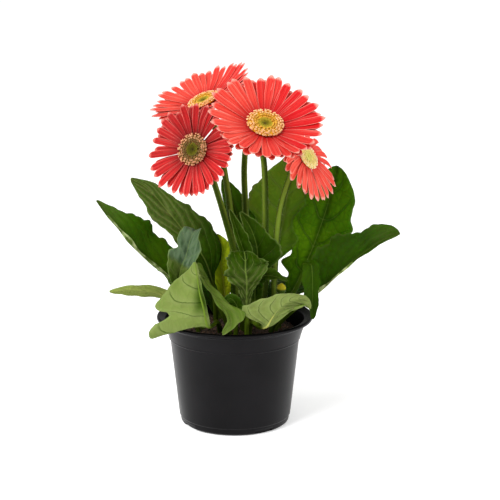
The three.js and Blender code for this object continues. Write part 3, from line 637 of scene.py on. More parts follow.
def breadth(t, steps):
    """Half-breadth at share t of the blade: cubic easing between the steps, and a round end."""
    steps = np.array([*steps, 0.8, 0.8, 0.8], float)
    count = len(steps) - 3
    x = np.clip(t, 0, 1) * count
    i = np.minimum(x.astype(int), count)
    f = x - i
    before = steps[np.maximum(i - 1, 0)]
    slopes = (steps[i + 1] - before) / 2, (steps[i + 2] - steps[i]) / 2
    eased = lerp(steps[i], steps[i + 1], f * f * (3 - 2 * f))
    eased = eased + slopes[0] * f * (1 - f) ** 2 - slopes[1] * f**2 * (1 - f)
    return np.where(i == count - 1, lerp(eased, steps[i] * np.sqrt(1 - f * f), 0.5), eased)


def margin(t, key, depth):
    """How much wider or narrower the fine wave and the teeth make the blade at share t."""
    ends = depth * np.clip(6 * t * (1 - t), 0, 1)
    teeth = np.abs(np.sin(np.pi * (13 * t + draw(key, 3)))) - 0.6
    return 1 + ends * (0.045 * np.sin(2 * np.pi * (5.5 * t + draw(key, 1))) + 0.06 * teeth)


def number(leaf):
    """A number from the letters of a leaf's name, which makes its random draws its own."""
    return sum(map(ord, leaf["name"]))


def veins(t, a, leaf):
    """The count of side veins up to a point: whole on a vein. They leave the midrib and lean to the tip."""
    bend = 0.05 * np.sin(5 * a + 2 * np.pi * draw(number(leaf), 7))
    return leaf.get("veins", 6) * (t - leaf.get("lean", 0.17) * a**1.35) + bend


def quilt(phase, a):
    """How far the blade swells between its side veins: 0 on a vein and on the midrib, up to 1 between."""
    return np.abs(np.sin(np.pi * phase)) ** 0.7 * smooth(a, 0.02, 0.25) * (1 - 0.6 * smooth(a, 0.75, 1))


def hem(v, half, leaf):
    """How pale the margin is: all of its edge value within 0.2 mm of the rim, and nothing from 0.8 mm on."""
    return smooth((1 - np.abs(v)) * half, 0.8, 0.2) * leaf.get("edge", 0.2)


def rolled(t, leaf):
    """Side and width of the pale strip where a leaf's edge rolls up, which thins and widens with cos t."""
    side, end, width = leaf.get("roll", (1, 0, 0))
    strip = 0.3 + width * np.clip(np.cos(4 * np.pi * (t - 0.1)), 0, 1) ** 2
    return np.where(t < end, side, 0), np.where(t < end, strip, -1)


# %% [markdown]
# A leaf is made of rings that stand along its way. Each ring has a middle and three axes: sideways, up
# towards the upper face, and along. In it the points run across the upper face and back across the lower
# one, so one formula in x, y and z gives the whole leaf.


# %% Shape of a leaf
def leaf_rings(leaf, stalk_steps=14, blade_steps=90):
    """Shares s of the way and t of the blade for each ring, its middle, its axes and the length of the way.

    Up goes from the first to the second direction in the table with t, and is then set square to the way.
    """
    stalk = leaf["stalk"]
    at, length = stalk_line(leaf["root"], leaf["way"])
    out = (SOIL["top"] + SOIL["crown"] - SOIL["foot"]) / length
    steps = np.linspace(out, stalk - JOIN, stalk_steps), np.linspace(stalk - 0.05, 1, blade_steps)
    s = np.concatenate([[0], *steps])
    centre, tangent = at(s)
    t = np.maximum((s - stalk) / (1 - stalk), 0)
    up = unit(np.array(leaf["up"], float))
    normal = lerp(up[0], up[1], t[:, None])
    normal = unit(normal - tangent * np.sum(normal * tangent, 1, keepdims=True))
    return s[:, None], t[:, None], centre, (np.cross(tangent, normal), normal, tangent), length


def leaf_surface(leaf, across=21):
    """Rings of points along a leaf, with the values that its finish needs.

    The place of a point is the midrib plus v times the half-breadth sideways, folded up by an angle, plus a
    wave that grows with v squared and the swelling between the veins. The lower face lies under it by the
    thickness and the rib. Below the blade, the same points lie round a stalk.
    """
    s, t, centre, axes, length = leaf_rings(leaf)
    v, below = both_faces(across)
    turn = np.pi * (1 - (np.arange(2 * across) + 0.5) / across)
    a, right, key, stalk = np.abs(v), v > 0, number(leaf), leaf["stalk"]
    fold = np.radians(np.where(right, leaf["fold"][1], leaf["fold"][0]))
    half = np.where(right, breadth(t, leaf["right"]), breadth(t, leaf["left"]))
    teeth = leaf.get("teeth", 1)
    half = half * np.where(right, margin(t, key, teeth), margin(t, key + 5, teeth))
    wave = leaf.get("ruffle", 1.2) * a * a * np.sin(2 * np.pi * leaf.get("waves", 3.5) * t + 2 * v)
    wave = wave * np.clip(4 * t * (1 - t), 0, 1)
    wide = a * half
    phase = veins(t, a, leaf)
    swell = quilt(phase, a) * np.minimum(0.07 * half, 1.5)
    ridge = np.exp(-((wide / 1.3) ** 2)) * (1 - 0.6 * t)
    under = THICK * (1 - 0.5 * a**4) + RIB * ridge
    x = np.sign(v) * wide * np.cos(fold)
    y = wide * np.sin(fold) + wave + swell - 0.25 * ridge - np.where(below, under, 0)
    sweep = leaf.get("sweep", (0.25, 0.25))
    z = (np.interp(t, np.linspace(0, 1, len(sweep)), sweep) + np.sign(v) * leaf.get("skew", 0)) * wide

    # Painted sheen: how strongly grey light lies on the blade, growing from a share of it over a span; below
    # 0 a fresher green instead.
    grey_sheen, start, span = (*leaf.get("grey_sheen", (0, 0)), 0.5)[:3]
    dim = np.where(right, *leaf.get("dim", (0, 0))[::-1]) * smooth(a, 0, 0.1) + 0 * t
    r = STALK * (1 - 0.35 * np.minimum(s / stalk, 1)) * (1 - 0.7 * t)
    blade = smooth(s, stalk - JOIN, stalk)
    x, y = lerp(r * np.cos(turn), x, blade), lerp(r * np.sin(turn), y, blade)
    parts = zip((x, y, z * blade), axes)
    points = sum((c[..., None] * d[:, None] for c, d in parts), centre[:, None])
    tone, bold = leaf.get("tone", 0.0), leaf.get("bold", 0.3)
    return points, {
        "blade": spread(points, np.sign(v) * wide, t * length * (1 - stalk), phase),
        "span": spread(points, v, t, blade),
        "looks": spread(points, tone, bold, hem(v, half, leaf)),
        "under": spread(points, below * 1.0),
        "grey_sheen": spread(points, grey_sheen * smooth(t, start, start + span)),
        "roll": spread(points, *rolled(t, leaf), dim),
        "puff": spread(points, leaf.get("puff", bold)),
    }


# %% [markdown]
# The finish draws the veins where the surface has them. The midrib is a pale stripe about 1 mm wide, the
# side veins are thin lines that lean towards the tip, and a net of cells fills what lies between. The values
# that the mesh carries, and the lines drawn from them, are kept on the finish under short names, so that
# both faces of the leaf can use them.


# %% Lines on a leaf
def read_leaf(f):
    """The mesh's values: x and y in millimetres, v and t as shares, and the looks from the leaf's row."""
    (f.x, f.y, f.phase), (f.v, f.t, f.blade) = f.split(f.vector("blade")), f.split(f.vector("span"))
    f.tone, f.bold, f.pale_edge = f.split(f.vector("looks"))
    f.roll_side, f.roll_width, f.dim = f.split(f.vector("roll"))
    f.under, f.grey_sheen, f.puff = f.value("under"), f.value("grey_sheen"), f.value("puff")
    f.from_rib = f.size(f.x)
    f.flat = f.node("CombineXYZ", {0: f.x, 1: f.y, 2: f.times(f.under, 40)})
    f.cloud = f.noise(f.place(), 34, 4)
    f.mottle = f.step(f.cloud, 0.3, 0.7)


def draw_lines(f):
    """Masks that are 1 on a line: side veins where the phase is whole, the rib where x is 0, and a net.

    off is 0.5 on a side vein and 0 midway between two. Noise makes the veins wander, and they fade towards
    the margin. The furrows beside them, where painted shade lies, are wider and softer, and a puffed leaf
    has deeper ones.
    """
    wander = f.times(f.math("SUBTRACT", f.noise(f.flat, 0.1, 2), 0.5), 0.22)
    f.off = f.size(f.math("SUBTRACT", f.math("FRACT", f.math("ADD", f.phase, wander)), 0.5))
    fade = f.step(f.size(f.v), 0.98, 0.7, 0.15, 1)
    f.side = f.times(f.step(f.off, f.line(f.bold, -0.035, 0.475), 0.492), fade)
    f.rib = f.step(f.line(f.t, 0.5, f.from_rib), f.line(f.bold, 0.9, 0.5), 0.3)
    f.cell = f.cells(f.flat, 0.16)
    f.net = f.times(f.step(f.cell, 0.12, 0.0), 0.4)
    beside_vein = f.times(f.step(f.off, 0.34, 0.49), fade)
    beside_rib = f.step(f.from_rib, 4.5, 1.0)
    furrow = f.math("MAXIMUM", f.math("MAXIMUM", beside_vein, beside_rib), f.net)
    f.furrow = f.times(furrow, f.line(f.puff, 0.75, 0.2))


def relief(f):
    """Cells that swell and veins that sink on the upper face, and the other way round on the lower one."""
    swell = f.math("ADD", f.step(f.cell, 0.0, 0.35), f.times(f.side, -0.5))
    swell = f.times(swell, f.step(f.under, 0, 1, 1, -0.8))
    swell = f.times(swell, f.line(f.puff, 1.6, 0.3))
    f.bump(f.math("ADD", swell, f.times(f.noise(f.flat, 1.1, 3), 0.3)), 0.0007, 0.7)


# %% [markdown]
# The upper face is mottled in two greens with warmer patches. Over them come painted shade in the furrows,
# a painted grey sheen, the pale veins and the pale margin, painted shade on a half, and last the strip that
# rolls over. The order matters, because each layer covers a share of those before it.

# %% Upper face of a leaf
GREEN = (0.014, 0.036, 0.0004), (0.027, 0.066, 0.0009), (0.1, 0.195, 0.007)
YELLOWING = (0.28, 0.38, 0.008), (0.48, 0.56, 0.014), (0.6, 0.62, 0.06)
LUSH = (0.03, 0.08, 0.0004), (0.06, 0.135, 0.001)
DULL_SHEEN = (0.05, 0.083, 0.01), (0.13, 0.158, 0.045)
BLUE_SHEEN = (0.04, 0.07, 0.035), (0.125, 0.18, 0.105)
ROLL = (0.1, 0.15, 0.03), (0.34, 0.4, 0.18)
MARGIN = (0.2, 0.27, 0.08), (0.3, 0.38, 0.15)
IN_FURROW, IN_SHADE = (0.36, 0.42, 0.4), (0.5, 0.56, 0.4)


def painted_sheen(f):
    """Painted grey sheen: strands along the leaf where its veins are faint, bands between them where bold.
    """
    along = {0: f.times(f.x, 0.35), 1: f.times(f.y, 0.05)}
    strands = f.step(f.noise(f.node("CombineXYZ", along), 1.0, 3), 0.35, 0.65)
    bands = f.times(f.step(f.off, 0.1, 0.45), f.times(f.bold, 1.5, clamp=True))
    grain = f.math("MAXIMUM", f.times(strands, f.line(f.bold, -1.2, 1.1, clamp=True)), bands)
    return f.mix(f.step(f.grey_sheen, 0.8, 0.95), f.mix(grain, *DULL_SHEEN), f.mix(grain, *BLUE_SHEEN))


def upper_face(f, greens, vein):
    """The layers from the ground up. greens are a dark, a middle and a light colour."""
    warm = tuple(c * k for c, k in zip(greens[1], (1.5, 1.1, 0.8)))
    top = f.mix(f.mottle, greens[0], greens[1])
    top = f.mix(f.step(f.noise(f.place(), 13, 3), 0.4, 0.7, 0, 0.5), top, warm)
    top = f.mix(f.tone, top, greens[2])
    top = f.mix(f.step(f.grey_sheen, 0, -1), top, f.mix(f.mottle, *LUSH))
    # Painted shade in the furrows beside the veins and the rib, and on the net.
    top = f.darken(f.furrow, top, IN_FURROW)
    # A painted sheen of grey light, as far as the leaf's sheen value says.
    top = f.mix(f.times(f.grey_sheen, 0.85), top, painted_sheen(f))
    top = f.mix(f.times(f.side, f.line(f.bold, 0.6, 0.04)), top, vein)
    top = f.mix(f.times(f.rib, f.line(f.bold, 0.5, 0.25)), top, vein)
    top = f.mix(f.times(f.pale_edge, 0.9), top, MARGIN[0])
    top = f.darken(f.dim, top, IN_SHADE)
    rolled_over = f.step(f.line(f.x, f.roll_side, f.roll_width), -0.2, 0.2)
    return f.mix(rolled_over, top, f.mix(f.step(f.noise(f.flat, 0.13, 2), 0.4, 0.6), *ROLL))


# %% [markdown]
# The lower face is paler and greyer, and its veins are ridges with shade beside them. A leaf that isn't
# light has a darker heart round its midrib. Its stalk is olive green. A leaf lets some light through, which
# the shader's subsurface scattering stands for. Low among the stalks little light arrives, and all greens
# are deeper there.

# %% Lower face and stalk of a leaf
UNDERSIDE = (0.12, 0.165, 0.032), (0.155, 0.205, 0.05), (0.21, 0.25, 0.086)
LUSH_BELOW, LIGHT_BELOW, HEART = (0.21, 0.26, 0.05), (0.24, 0.27, 0.1), (0.022, 0.05, 0.0008)
BESIDE_VEIN, ON_NET, DARK_RIB = (0.26, 0.36, 0.16), (0.5, 0.6, 0.4), (0.12, 0.19, 0.02)
STEM = (0.045, 0.08, 0.002), (0.085, 0.14, 0.008)
STEM_SHADE, DEEP_SHADE = (0.3, 0.36, 0.2), (0.38, 0.36, 0.3)


def lower_face(f, vein):
    """The layers from the ground up. The heart fades away from the rib and towards both ends."""
    low = f.mix(f.mottle, UNDERSIDE[0], UNDERSIDE[1])
    low = f.mix(f.times(f.step(f.off, 0.1, 0.46), 0.3), low, UNDERSIDE[2])
    low = f.mix(f.step(f.grey_sheen, 0, -1), low, LUSH_BELOW)
    low = f.mix(f.step(f.tone, 0, 1, 0, 0.2), low, LIGHT_BELOW)
    heart = f.step(f.line(f.t, 20, f.from_rib), 19, 10)
    heart = f.times(heart, f.step(f.size(f.math("SUBTRACT", f.t, 0.5)), 0.4, 0.1))
    heart = f.times(heart, f.step(f.tone, 0.6, 0.2, 0, 0.95))
    low = f.mix(heart, low, HEART)
    low = f.darken(f.times(f.side, 0.85), low, BESIDE_VEIN)
    low = f.darken(f.times(f.net, 0.25), low, ON_NET)
    ridge = f.math("ADD", f.times(f.t, f.line(f.tone, 1.5, 0.8)), f.from_rib)
    low = f.mix(f.step(ridge, 1.25, 0.7), low, f.mix(f.tone, DARK_RIB, vein))
    return f.mix(f.times(f.pale_edge, 0.7), low, MARGIN[1])


def leaf_finish(name, greens, veins, shaded=0.8):
    """Both faces, then the stalk below them, and shade low down in the middle of the plant."""
    inner = dict(Subsurface_Weight=0.06, Subsurface_Scale=0.002, Subsurface_Radius=(0.3, 1.0, 0.15))
    f = Finish(name, Specular_IOR_Level=0.02, **inner)
    read_leaf(f)
    draw_lines(f)
    faces = f.mix(f.under, upper_face(f, greens, veins[0]), lower_face(f, veins[1]))
    stalk = f.mix(f.step(f.cloud, 0.35, 0.65), *STEM)
    stalk = f.darken(f.step(f.tone, 0, -1), stalk, STEM_SHADE)
    _, depth, height = f.split(f.place())
    low_down = f.times(f.step(height, 0.13, 0.085, 0, shaded), f.step(depth, -0.045, -0.025))
    f.use("Base Color", f.darken(low_down, f.mix(f.blade, stalk, faces), DEEP_SHADE))
    f.use("Roughness", f.step(f.under, 0, 1, 0.45, 0.65))
    relief(f)
    return f.material


VEIN = (0.15, 0.22, 0.04)
leaf_finishes = {
    "leaf": leaf_finish("Leaf", GREEN, (VEIN, (0.2, 0.26, 0.06))),
    "leaf_pale": leaf_finish("Leaf, pale below", GREEN, (VEIN, (0.36, 0.37, 0.09))),
    "leaf_yellowing": leaf_finish("Leaf, yellowing", YELLOWING, ((0.5, 0.52, 0.1), (0.4, 0.42, 0.1)), 0.2),
}
for leaf in LEAVES:
    points, values = leaf_surface(leaf)
    faces = tube_faces(*points.shape[:2])
    slot = leaf.get("slot", "leaf")
    make_piece(leaf["name"] + "_fine", points, faces, leaf_finishes[slot], values, leaf["name"])

# %% [markdown]
# ## Blooms
#
# A daisy's bloom is a crowd of flowers. The rays at its rim each have one long petal, and they stand in
# rows, on a green cup at the end of a hairy stalk. A row of the table gives the middle of the bloom, where
# it faces, the reach of its rays, the radius of its disc, the rays in a row, half the breadth of one, how
# far they rise from flat, how far their tips hang, and the stalk. Some rows also say how strongly the rays
# curl, how far they bunch together, the side from which painted light makes them palest, and their tint.

# %% Table of blooms
BLOOMS = [
    dict(name="bloom_front", head=(24.5, -30, 255.5), facing=(0.16, -0.57, 0.8), radius=48,
         disc=14.6, rays=23, width=4.2, cup=15, droop=0, root=(22, 2),
         way=[(25, 3, 120), (25.5, 3, 163), (24.5, -4, 215)]),
    dict(name="bloom_left", head=(-33, -18, 233.4), facing=(-0.46, -0.81, 0.36), radius=40.5,
         disc=13, rays=18, width=3.2, cup=8, droop=1, root=(8, -1),
         way=[(8, -4, 115), (0, -5, 146), (-18, 0, 207)],
         curl=0.4, clumps=0.07, pale_at=-1.6, tint="red"),
    dict(name="bloom_rear_left", head=(-26, 48, 263.5), facing=(-0.38, -0.25, 0.89), radius=46,
         disc=13.5, rays=28, width=3.4, cup=16, droop=0, root=(2, 11),
         way=[(0, 10, 120), (-4, 10, 180), (-11, 26, 222), (-15, 42, 236)]),
    dict(name="bloom_right", head=(59.5, -8, 226), facing=(0.73, -0.46, 0.5), radius=33,
         disc=11, rays=17, width=3.2, cup=4, droop=8, root=(36, 0),
         way=[(33, 2, 106), (33.5, 2, 134), (38, 2, 182), (48, 4, 214)],
         tint="salmon"),
    dict(name="bloom_rear", head=(22, 46, 250), facing=(0.3, 0.4, 0.86), radius=30,
         disc=11, rays=13, width=3.6, cup=16, droop=0, root=(12, 14),
         way=[(10, 15, 120), (9, 18, 173), (8, 23, 214), (10, 30, 229)]),
]
# The cup behind the largest bloom, as pairs of a depth behind its middle and a radius there.
CUP = [(13, 2.5), (11, 4.4), (8.5, 7.4), (6, 9.4), (3.7, 10)]


def scale(bloom):
    """The size of a bloom beside the largest one, for which the cup, collar and florets are given."""
    return bloom["radius"] / BLOOMS[0]["radius"]


def face(bloom):
    """Right, up and out of a bloom's face as the columns of a matrix, and its middle."""
    out = unit(np.array(bloom["facing"], float))
    right = unit(np.array([-out[1], out[0], 0]))
    return np.stack([right, np.cross(out, right), out], 1), np.array(bloom["head"], float)


def set_on(bloom, points):
    """Points given as right, up and out of a bloom's face, moved to where the bloom is."""
    axes, head = face(bloom)
    return points @ axes.T + head


# %% [markdown]
# ## Flower stalks
#
# A gerbera's flower stalk is bare, round and covered with short pale hairs, and it swells into a cup of
# narrow green bracts. The stalk is a ring carried along the line, and the hairs are thin three-sided
# spikes in the same mesh. Particles or hair curves would be quicker to set up, but they are lost when the
# model is exported.


# %% Shape of the flower stalks
SCAPE = dict(foot=3.0, neck=2.4, hairs=900, hair_length=1.3)


def circles(centre, tangent, side, radius, around):
    """Rings of points around a line: centre + r (a cos u + b sin u), where a and b stand across the line."""
    a = unit(side - tangent * np.sum(side * tangent, -1, keepdims=True))
    b = np.cross(tangent, a)
    u = circle(around)[:, None]
    ring = a[:, None] * np.cos(u) + b[:, None] * np.sin(u)
    return centre[:, None] + ring * np.reshape(radius, (-1, 1, 1))


def scape(bloom, around=16, steps=64):
    """Rings of a flower stalk, and of the cup that it swells into at the head."""
    axes, head = face(bloom)
    side, out = axes[:, 0], axes[:, 2]
    size = scale(bloom)
    neck = CUP[0][0] * size
    line, _ = stalk_line(bloom["root"], [*bloom["way"], head - out * (neck + 4), head - out * neck])
    s = np.linspace(0, 0.97, steps)
    centre, tangent = line(s)
    radius = lerp(SCAPE["foot"], SCAPE["neck"], s)
    depth, wide = np.array(CUP).T * size
    finer = np.linspace(depth[0], depth[-1], 14)
    centre = np.vstack([centre, head - out * finer[:, None]])
    tangent = np.vstack([tangent, np.tile(out, (len(finer), 1))])
    swelling = np.maximum(np.interp(-finer, -depth, wide), SCAPE["neck"]) * 0.98
    radius = np.concatenate([radius, swelling])
    share = np.concatenate([s * 0, smooth(-finer, -depth[0], -depth[2])])
    return circles(centre, tangent, side, radius, around), share


def hairs(rings, count, length, seed):
    """Spikes on a stalk: three points round a spot on the skin, and a tip straight out from it."""
    pick = np.random.default_rng(seed)
    n, around = rings.shape[:2]
    i, j = pick.integers(4, n - 1, count), pick.integers(0, around, count)
    f, g = pick.uniform(0, 1, (2, count, 1))
    k = (j + 1) % around
    spot = lerp(lerp(rings[i - 1, j], rings[i, j], f), lerp(rings[i - 1, k], rings[i, k], f), g)
    along = unit(rings[i, j] - rings[i - 1, j])
    out = unit(spot - lerp(rings[i - 1].mean(1), rings[i].mean(1), f))
    side = np.cross(along, out)
    u = np.arange(3)[:, None, None] * 2 * np.pi / 3
    foot = spot + 0.07 * (side * np.cos(u) + along * np.sin(u)) - 0.1 * out
    lean = pick.uniform(-0.35, 0.35, (2, count, 1))
    tip = spot + length * pick.uniform(0.5, 1.1, (count, 1)) * unit(out + side * lean[0] + along * lean[1])
    points = np.concatenate([foot, tip[None]]).transpose(1, 0, 2)
    return points, repeat_faces(np.array([[1, 0, 2], [0, 1, 3], [1, 2, 3], [2, 0, 3]]), 4, count)


def scape_finish():
    """Olive green, lighter on two ribs at the sides that are partly a painted highlight, even on the cup,
    darker low down with painted shade, yellow where a bud opens, and pale on the hairs.
    """
    inner = dict(Subsurface_Weight=0.1, Subsurface_Scale=0.002, Subsurface_Radius=(0.4, 1.0, 0.2))
    f = Finish("Flower stalk", Roughness=0.55, Specular_IOR_Level=0.06, **inner)
    cloud = f.noise(f.place(), 40, 4)
    # The ribs are lighter: partly ridges, and partly a painted highlight along the stalk's sides.
    rib = f.step(f.math("ADD", f.value("rib"), f.times(cloud, 0.6)), 0.3, 1.3)
    green = f.mix(rib, (0.026, 0.05, 0.0008), (0.14, 0.21, 0.02))
    green = f.mix(f.value("cup"), green, (0.06, 0.115, 0.01))
    # Painted shade low among the leaves.
    green = f.darken(f.step(f.split(f.place())[2], 0.14, 0.085, 0, 0.8), green, DEEP_SHADE)
    green = f.mix(f.value("open"), green, (0.5, 0.45, 0.02))
    f.use("Base Color", f.mix(f.value("hair"), green, (0.34, 0.4, 0.2)))
    f.bump(f.noise(f.place(), 700, 3), 0.0003, 0.5)
    return f.material


def hairy_piece(name, rings, cup, opened, hair, hair_faces):
    """A stalk and its hairs as one piece. cup and opened are shares a ring, and two ribs, partly a painted
    highlight, run along it.
    """
    points = np.vstack([rings.reshape(-1, 3), hair.reshape(-1, 3)])
    faces = [tube_faces(*rings.shape[:2]), hair_faces + rings.size // 3]
    # Two lighter ribs, at the sides of the stalk, which are partly a painted highlight.
    rib = 0.5 + 0.5 * np.cos(2 * (circle(rings.shape[1]) - 3.5))
    values = {"rib": rib, "cup": cup[:, None], "open": opened[:, None], "hair": 0.0}
    values = {key: [spread(rings, v), np.full(hair.size // 3, key == "hair")] for key, v in values.items()}
    values = {key: np.concatenate(both) for key, both in values.items()}
    make_piece(name + "_fine", points, faces, stalk_green, values, name)


stalk_green = scape_finish()
for order, bloom in enumerate(BLOOMS):
    rings, cup = scape(bloom)
    hair = hairs(rings, SCAPE["hairs"], SCAPE["hair_length"], seed=20 + order)
    hairy_piece(bloom["name"] + "_scape", rings, cup, 0 * cup, *hair)

# %% [markdown]
# ## Rays
#
# A ray is a narrow petal with a few grooves along it, a blunt tip with tiny notches, and edges that curl
# up a little. The rays stand in two rows, and the lower row shows between the upper one. Each petal is a
# flat tube, as a leaf is, and all petals of a bloom are worked out at once. Small differences in length,
# rise and roll keep the bloom from looking stamped.

# %% Surface of the rays
# The collar's radii are shares of the disc's, and its levels are those of both rows and of its underside.
COLLAR = dict(inner=0.36, outer=0.68, levels=(-1.2, -2.2, -3.35))
# A fine bloom has more and narrower petals than the table gives the solids, and each is this thick.
MORE, NARROWER, PETAL = 1.3, 0.9, 0.28


def petal_width(f):
    """Share of the breadth at share f of the length: 0.42 at the foot, 1 past the middle, a round tip."""
    tip = np.clip((f - 0.84) / 0.16, 0, 1)
    return (0.42 + 0.58 * smooth(f, 0, 0.6)) * np.sqrt(1 - 0.93 * tip**2.2)


def petal_places(bloom):
    """For each petal of both rows: a key for its draws, its row, turn round the disc, length and rise.

    The turns are even steps with small errors, and a sine of 5 times the turn bunches them a little.
    """
    count = round(MORE * bloom["rays"])
    row, i = (x.ravel() for x in np.meshgrid([0, 1], np.arange(count), indexing="ij"))
    key = row * 50 + i + bloom["radius"] * 7
    key, row, i = (x[:, None, None] for x in (key, row, i))
    turn = np.pi * (2 * i + 0.5 + row + 0.6 * stray(key, 1)) / count
    turn = turn + bloom.get("clumps", 0.03) * np.sin(5 * turn + bloom["radius"])
    length = bloom["radius"] * (1 - 0.05 * row - 0.07 * draw(key, 2))
    rise = np.radians(bloom["cup"] + np.where(row > 0, -2, 2.5) + 4 * stray(key, 3))
    return key, row, turn, length, rise


def rays(bloom, across=9, along=17):
    """Points of all the petals of a bloom, as petals x rings x points round a ring.

    At share f of its length and v across, a petal lies at a reach along its own direction, rises by the
    bloom's cup, bends with f, curls with v squared, and has grooves where cos(5 v) is low.
    """
    key, row, turn, length, rise = petal_places(bloom)
    roll = 0.16 * stray(key, 4)
    v, below = both_faces(across)
    v = -v[None, None]
    f = 1 - (1 - np.linspace(0, 1, along)[None, :, None]) ** 1.6
    root = (COLLAR["outer"] - 0.05) * bloom["disc"]
    level = np.where(row > 0, COLLAR["levels"][1], COLLAR["levels"][0]) * scale(bloom)
    notch = 0.007 * (1 - np.cos(3 * np.pi * v)) + 0.02 * v * v
    reach = lerp(root, length, f * (1 - notch * smooth(f, 0.6, 1)))
    half = NARROWER * bloom["width"] * petal_width(f) * (1 + 0.12 * stray(key, 5))
    curl = bloom.get("curl", 0.16) + 0.1 * stray(key, 6)
    lift = level + (reach - root) * np.tan(rise) * f**0.3
    lift = lift + half * curl * v * v + 0.1 * np.cos(5 * v) * smooth(f, 0, 0.2)
    lift = lift + 1.6 * (draw(key, 7) - 0.6) * f**3 + 0.25 * np.sin(9 * f + 6 * draw(key, 8))
    lift = lift - v * half * (roll + 0.12 * stray(key, 9) * f) - np.where(below, PETAL, 0)
    sway = 1.4 * stray(key, 10) * f * f
    x = reach * np.cos(turn) + (v * half + sway) * np.sin(turn)
    y = reach * np.sin(turn) - (v * half + sway) * np.cos(turn)
    points = set_on(bloom, np.stack(np.broadcast_arrays(x, y, lift), -1))
    points[..., 2] -= bloom["droop"] * f**2
    # Painted light: petals on the side that the table gives are paler, and each petal also has a random
    # share of paleness.
    facing = 0.5 * np.cos(turn - bloom.get("pale_at", np.pi))
    light_and_tone = np.clip(0.5 + facing + 0.5 * stray(key, 12), 0, 1)
    return points, {
        "petal": spread(points, v, f, draw(key, 11)),
        "under": spread(points, below * 1.0),
        "light_and_tone": spread(points, light_and_tone),
    }


def quoit(profile, around=72):
    """Points and faces of a loop of corners (r, z) that is carried round the axis and closed both ways."""
    rings = revolve(np.array(profile), circle(around))
    i, j = np.meshgrid(np.arange(len(profile)), np.arange(around), indexing="ij")
    n, m = (i + 1) % len(profile), (j + 1) % around
    faces = np.stack([i * around + j, i * around + m, n * around + m, n * around + j], -1)
    return rings.reshape(-1, 3), faces.reshape(-1, 4)


def collar(bloom):
    """The ring that the rays grow from."""
    inner, outer = (COLLAR[side] * bloom["disc"] for side in ("inner", "outer"))
    top, bottom = (COLLAR["levels"][i] * scale(bloom) for i in (0, 2))
    points, faces = quoit([(inner, bottom), (outer, bottom), (outer, top), (inner, top)])
    return set_on(bloom, points), faces


# %% [markdown]
# The petals are coral red, with painted shade near the disc and along the grooves, and pale pink at the
# edges and the tip. Painted light makes one side of a bloom paler. Their lower faces are paler. A petal is
# thin and soft, so the light spreads a little way inside it.


# %% Finish of the rays
def ray_finish(name, deep, coral, light, pale, edge=0.6):
    """deep is painted shade for the foot and the grooves, light is painted light on the lit side of a bloom,
    and pale is for the edges.
    """
    inner = dict(Subsurface_Weight=0.1, Subsurface_Scale=0.002, Subsurface_Radius=(1.0, 0.35, 0.25))
    f = Finish(name, Roughness=0.5, Specular_IOR_Level=0.12, **inner)
    v, along, own = f.split(f.vector("petal"))
    a = f.size(v)
    lines = {0: f.times(v, 5), 1: f.times(along, 0.8), 2: f.times(own, 60)}
    streak = f.noise(f.node("CombineXYZ", lines), 1.0, 3)
    # Painted light: the light colour on the lit side of the bloom, mixed with each petal's own tone.
    body = f.mix(f.value("light_and_tone"), coral, light)
    # Painted shade at the foot of each petal, near the disc, and in its grooves.
    body = f.mix(f.step(along, 0.6, 0.1, 0, 0.8), body, deep)
    groove = f.step(f.math("COSINE", f.times(v, 7.5)), 0.2, -1)
    body = f.mix(f.times(groove, 0.4), body, deep)
    body = f.mix(f.step(streak, 0.5, 0.85, 0, 0.36 * edge), body, pale)
    rim = f.times(f.step(a, 0.84, 1.0, 0, edge), f.step(along, 0.1, 0.95, 0.25, 1))
    rim = f.math("MAXIMUM", rim, f.step(along, 0.9, 0.99, 0, 1.4 * edge))
    body = f.mix(rim, body, pale)
    below = f.mix(f.step(streak, 0.3, 0.7), tuple(0.5 * (p + c) for p, c in zip(pale, coral)), pale)
    f.use("Base Color", f.mix(f.times(f.value("under"), 0.75), body, below))
    f.bump(f.math("COSINE", f.times(v, 15)), 0.00014, 0.6)
    return f.material


CORAL = (0.42, 0.002, 0.004), (0.56, 0.006, 0.009), (0.76, 0.07, 0.045), (0.95, 0.42, 0.34)
RED = (0.15, 0.001, 0.002), (0.31, 0.003, 0.004), (0.5, 0.012, 0.012), (0.85, 0.3, 0.24)
SALMON = (0.62, 0.014, 0.01), (0.84, 0.055, 0.036), (0.92, 0.11, 0.07), (1, 0.5, 0.4)
ray_finishes = {
    "coral": ray_finish("Coral petal", *CORAL),
    "red": ray_finish("Red petal", *RED, edge=0.5),
    "salmon": ray_finish("Salmon petal", *SALMON),
}
for bloom in BLOOMS:
    points, values = rays(bloom)
    ring, ring_faces = collar(bloom)
    faces = np.vstack([tubes(points), ring_faces + points.size // 3])
    points = np.vstack([points.reshape(-1, 3), ring])
    values = {key: np.concatenate([v, np.zeros((len(ring), *v.shape[1:]))]) for key, v in values.items()}
    name, finish = bloom["name"] + "_rays", ray_finishes[bloom.get("tint", "coral")]
    make_piece(name + "_fine", points, faces, finish, values, name)

# %% [markdown]
# ## Florets and eye
#
# The disc of the bloom is a crowd of small tubular flowers. The outer ones are open, with cream tips, and
# those in the middle are still closed and green. Two short tubes, one flared and one domed, are copied onto
# rings and onto a spiral: a spiral with the golden angle packs seeds and florets evenly in nature.

# %% Shapes of the florets
GOLDEN = np.pi * (3 - np.sqrt(5))
EYE_SHARE = 0.4
ROWS = (0.46, 0.58, 0.7, 0.82, 0.93)
TRUMPET = [(0.42, -1.6), (0.5, 0.2), (0.6, 1.1), (0.8, 1.9), (0.6, 2.1), (0.3, 1.2), (0.05, 0.7)]
CLOSED = [(0.5, -1.2), (0.62, 0.0), (0.58, 0.45), (0.34, 0.8), (0.04, 0.92)]


